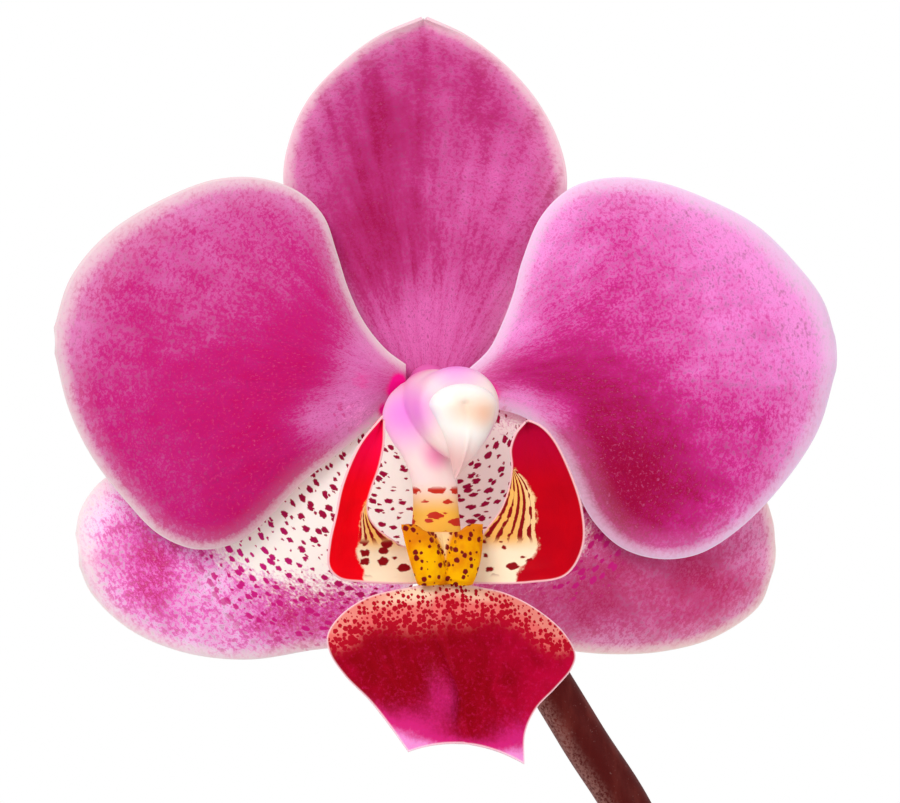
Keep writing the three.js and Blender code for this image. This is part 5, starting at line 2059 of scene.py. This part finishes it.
@dataclass(frozen=True)
class RootFinish:
    """Silvery spongy skin with green where it is thin, and a fresh green tip."""

    name: str = "root_velamen"
    silver: tuple = srgb(178, 184, 164)
    grey: tuple = srgb(128, 136, 112)
    green: tuple = srgb(104, 128, 62)
    tip: tuple = srgb(122, 158, 52)
    surface: Surface = Surface(roughness=0.85, specular=0.25, bump=0.5, bump_depth=0.18)

    def material(self) -> Material:
        """Builds the material."""
        shader = Skin(self.name, self.surface)
        place = millimetres(shader, local=False)
        cloud = shader.noise(place, 0.16, 4.0, 0.6)
        grain = shader.noise(place, 2.2, 4.0, 0.7)
        colour = shader.blend(shader.ramp(cloud, 0.38, 0.62), self.silver, self.grey)
        colour = shader.blend(shader.ramp(grain, 0.45, 0.75, 0.0, 0.5), colour, self.grey)
        colour = shader.blend(shader.ramp(cloud, 0.56, 0.75, 0.0, 0.7), colour, self.green)
        fresh = shader.ramp(attribute(shader, "fresh"), 0.15, 0.9)
        colour = shader.blend(fresh, colour, self.tip)
        relief = shader.plus(grain, cloud, 0.8)
        return shader.finished(colour, relief)


@dataclass(frozen=True)
class Root:
    """One thick aerial root, routed from the crown in millimetres above the bark."""

    number: int
    route: tuple[Point, ...]
    radius: float = 2.7
    taper: float = 0.25
    rows: int = 150
    sides: int = 30

    def build(self, finish: Material) -> Object:
        """Makes the root."""
        top = bark_top()
        path = smooth_path([(x, y, z + top) for x, y, z in self.route], self.rows)
        t = np.linspace(0, 1, self.rows)
        knots = np.array([noise.noise(Vector((k * 0.09, self.number * 7.1, 0.0))) for k in range(self.rows)])
        wander = [noise.noise_vector(Vector((k * 0.05, self.number * 3.3, 9.0))) for k in range(self.rows)]
        path = path + 0.45 * np.array(wander) * smoothstep(0.0, 0.1, t)[:, None]
        point = 1 - 0.62 * smoothstep(0.955, 1.0, t) ** 2
        radii = self.radius * (1 - self.taper * t) * (1 + 0.13 * knots) * point
        surface = tube_surface(path * MM, radii * MM, self.sides, Vector((0, 0.1, 1)))
        obj = new_grid(f"root_velamen_{self.number}", surface)
        along = np.linspace(0, 1, len(surface))[:, None]
        set_attribute(obj, "fresh", smoothstep(0.9, 0.985, along) * np.ones((1, self.sides + 1)))
        close_mesh(obj)
        return dressed(obj, finish, 60, "root", f"root_{self.number}")


ROOTS = (
    Root(1, ((4, -7, 6), (12, -20, 5.2), (26, -30, 4.2), (40, -26, -1), (44, -14, -14))),
    Root(2, ((-4, -7, 5), (-16, -17, 5), (-32, -20, 4.2), (-45, -10, -2), (-46, 4, -16))),
    Root(3, ((5, 8, 5), (18, 20, 4.6), (34, 24, 4), (44, 14, -3), (45, 2, -18))),
    Root(4, ((-5, 8, 6), (-10, 24, 5), (-2, 38, 4.2), (14, 46, -2), (27, 38, -16))),
    Root(
        5,
        (
            (-6, 3, 11), (-22, 14, 15), (-44, 26, 21), (-62, 37, 17), (-70, 42, -4), (-67, 38, -30),
            (-64, 32, -48),
        ),
    ),
)


# ---------------------------------------------------------------- scales on the spike


@dataclass(frozen=True)
class BractFinish:
    """Thin dry scale, green at its foot and brown at its tip."""

    name: str = "bract_scale"
    foot: tuple = srgb(92, 84, 48)
    tip: tuple = srgb(112, 76, 48)
    line: tuple = srgb(64, 38, 28)
    surface: Surface = Surface(roughness=0.7, specular=0.3, bump=0.5, bump_depth=0.12)

    def material(self) -> Material:
        """Builds the material."""
        shader = Skin(self.name, self.surface)
        across, along, _ = shader.add("SeparateXYZ", {0: uv(shader)}).outputs
        veins = shader.noise(shader.stretched(uv(shader), (26.0, 1.6, 1.0)), 1.0, 3.0, 0.6)
        colour = shader.blend(shader.ramp(along, 0.15, 0.8), self.foot, self.tip)
        colour = shader.blend(shader.ramp(veins, 0.45, 0.65, 0.0, 0.7), colour, self.line)
        rim = shader.ramp(shader.apart(across, 0.5), 0.42, 0.5)
        colour = shader.blend(rim, colour, srgb(150, 122, 86))
        return shader.finished(colour, veins)


@dataclass(frozen=True)
class Bract:
    """A pointed scale that hugs the spike over a node, in millimetres."""

    name: str
    along: float
    facing: float
    length: float
    wrap: float = 2.5
    narrowing: float = 0.94
    thickness: float = 0.9
    stand_off: float = 0.85
    flare: float = 1.2

    def build(self, finish: Material) -> Object:
        """Makes the scale."""
        spike = Spike()
        count = 2001
        path = smooth_path(spike.points(), count)
        k = round(self.along * (count - 1))
        way = path[k + 1] - path[k - 1]
        way /= np.linalg.norm(way)
        angle = math.radians(self.facing)
        side = np.array([math.cos(angle), math.sin(angle), 0.0])
        side -= way * side.dot(way)
        side /= np.linalg.norm(side)
        cross = np.cross(way, side)
        s, t = (share[..., None] for share in shares(36, 24))
        spread = (2 * s - 1) * self.wrap / 2 * np.sqrt(1 - self.narrowing * t**1.5)
        radius = spike.radius(self.along) + self.stand_off + self.flare * t**2
        points = path[k] + way * t * self.length
        points = points + side * radius * np.cos(spread) + cross * radius * np.sin(spread)
        obj = new_grid(self.name + "_scale", points * MM)
        edge = np.minimum(np.minimum(s, 1 - s), 1 - t)[..., 0] * 8
        thicken(obj, 0.4 + 0.6 * smoothstep(0.0, 1.0, edge), self.thickness)
        return dressed(obj, finish, 40, "bract", self.name)


BRACTS = (
    Bract("spike_bract_1", along=0.16, facing=20, length=15),
    Bract("spike_bract_2", along=0.36, facing=200, length=15),
    Bract("spike_bract_3", along=0.55, facing=30, length=15),
    Bract("floral_bract", along=0.925, facing=-90, length=5.5),
)


def pollen_wax() -> Material:
    """Golden waxy pollen."""
    surface = Surface(roughness=0.35, specular=0.5, subsurface=0.2, bump=0.2)
    shader = Skin("pollen_wax", surface)
    cloud = shader.noise(millimetres(shader), 2.4, 3.0)
    colour = shader.blend(shader.ramp(cloud, 0.35, 0.7), srgb(250, 190, 30), srgb(222, 142, 10))
    return shader.finished(colour, cloud)


# ---------------------------------------------------------------- studio


@dataclass(frozen=True)
class Studio:
    """Camera, pale floor and soft lights."""

    away: float = 450.0
    aim_x: float = 2.3
    aim_z: float = -1.9
    lens: float = 156.5
    sensor: float = 36.0
    floor_radius: float = 1.6

    def camera(self) -> None:
        """A level camera in front of the flower, looking along +Y."""
        data = bpy.data.cameras.new("camera")
        data.lens, data.sensor_width = self.lens, self.sensor
        data.clip_start, data.clip_end = 0.01, 50.0
        obj = bpy.data.objects.new("camera", data)
        obj.location = (
            (PLACE.x + self.aim_x) * MM,
            (PLACE.y - self.away) * MM,
            (PLACE.z + self.aim_z) * MM,
        )
        obj.rotation_euler = (math.pi / 2, 0, 0)
        bpy.context.collection.objects.link(obj)
        bpy.context.scene.camera = obj

    def floor(self) -> None:
        """A round pale floor."""
        deselect()
        bpy.ops.mesh.primitive_circle_add(vertices=96, radius=self.floor_radius, fill_type="NGON")
        obj = bpy.context.object
        obj.name = "studio_floor"
        surface = Surface(roughness=0.9, bump=0.02)
        shader = Skin("pale_floor", surface)
        cloud = shader.noise(millimetres(shader, local=False), 0.01)
        colour = shader.blend(cloud, srgb(246, 246, 246), srgb(238, 238, 238))
        obj.data.materials.append(shader.finished(colour, cloud))
        deselect()

    def world(self) -> None:
        """White all round, dimmer as a light than as a backdrop."""
        world = bpy.data.worlds.new("white")
        bpy.context.scene.world = world
        world.use_nodes = True
        shader = Shader(world.node_tree)
        back = world.node_tree.nodes["Background"]
        soft = shader.add("Background", {"Color": (1.0, 0.98, 0.99, 1.0), "Strength": 0.62})
        back.inputs["Color"].default_value = (1, 1, 1, 1)
        back.inputs["Strength"].default_value = 1.0
        seen = shader.add("LightPath").outputs["Is Camera Ray"]
        mixed = shader.add("MixShader", {0: seen, 1: soft.outputs[0], 2: back.outputs[0]})
        shader.feed(world.node_tree.nodes["World Output"].inputs["Surface"], mixed.outputs[0])

    def lamp(self, name: str, place: Point, size: float, power: float) -> None:
        """A soft square lamp that faces the flower."""
        data = bpy.data.lights.new(name, "AREA")
        data.size, data.energy = size, power
        obj = bpy.data.objects.new(name, data)
        target = Vector((PLACE.x, PLACE.y, PLACE.z)) * MM
        obj.location = target + Vector(place)
        obj.rotation_euler = (target - obj.location).to_track_quat("-Z", "Y").to_euler()
        bpy.context.collection.objects.link(obj)

    def build(self) -> None:
        """Sets up the studio."""
        bpy.context.scene.view_settings.view_transform = "Standard"
        bpy.context.scene.view_settings.look = "None"
        self.camera()
        self.floor()
        self.world()
        self.lamp("key", (-0.55, -0.9, 0.75), 0.7, 9.0)
        self.lamp("fill", (0.9, -0.7, 0.1), 0.8, 2.5)
        self.lamp("back", (0.2, 0.8, 0.7), 0.6, 4.0)


def build_all(patterns: Patterns) -> list[Object]:
    """Makes every piece of the plant and its pot, the flower first."""
    pieces = [tepal.build(patterns) for tepal in TEPALS]
    pieces += [maker.build(patterns) for maker in (Lip(), Column(), AntherCap())]
    pieces += [Spike().build(), Pedicel().build()]
    scale = BractFinish().material()
    pieces += [bract.build(scale) for bract in BRACTS]
    pieces.append(Crown().build())
    skin = LeafFinish().material()
    pieces += [leaf.build(skin) for leaf in LEAVES]
    velamen = RootFinish().material()
    pieces += [root.build(velamen) for root in ROOTS]
    pieces += [Pot().build(), BarkBed().build(), *BarkChips().build()]
    return pieces


def main() -> None:
    """Builds the plant and the studio."""
    logging.basicConfig(level=logging.INFO, format="%(name)s %(message)s")
    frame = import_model()
    deselect()
    noise.seed_set(NOISE_SEED)
    for piece in build_all(Patterns()):
        LOG.info("%s: %d faces", piece.name, len(piece.data.polygons))
    pollen = frame["nodes"]["pollinarium"]
    pollen.data.materials.clear()
    pollen.data.materials.append(pollen_wax())
    Studio().build()


if __name__ == "__main__":
    main()
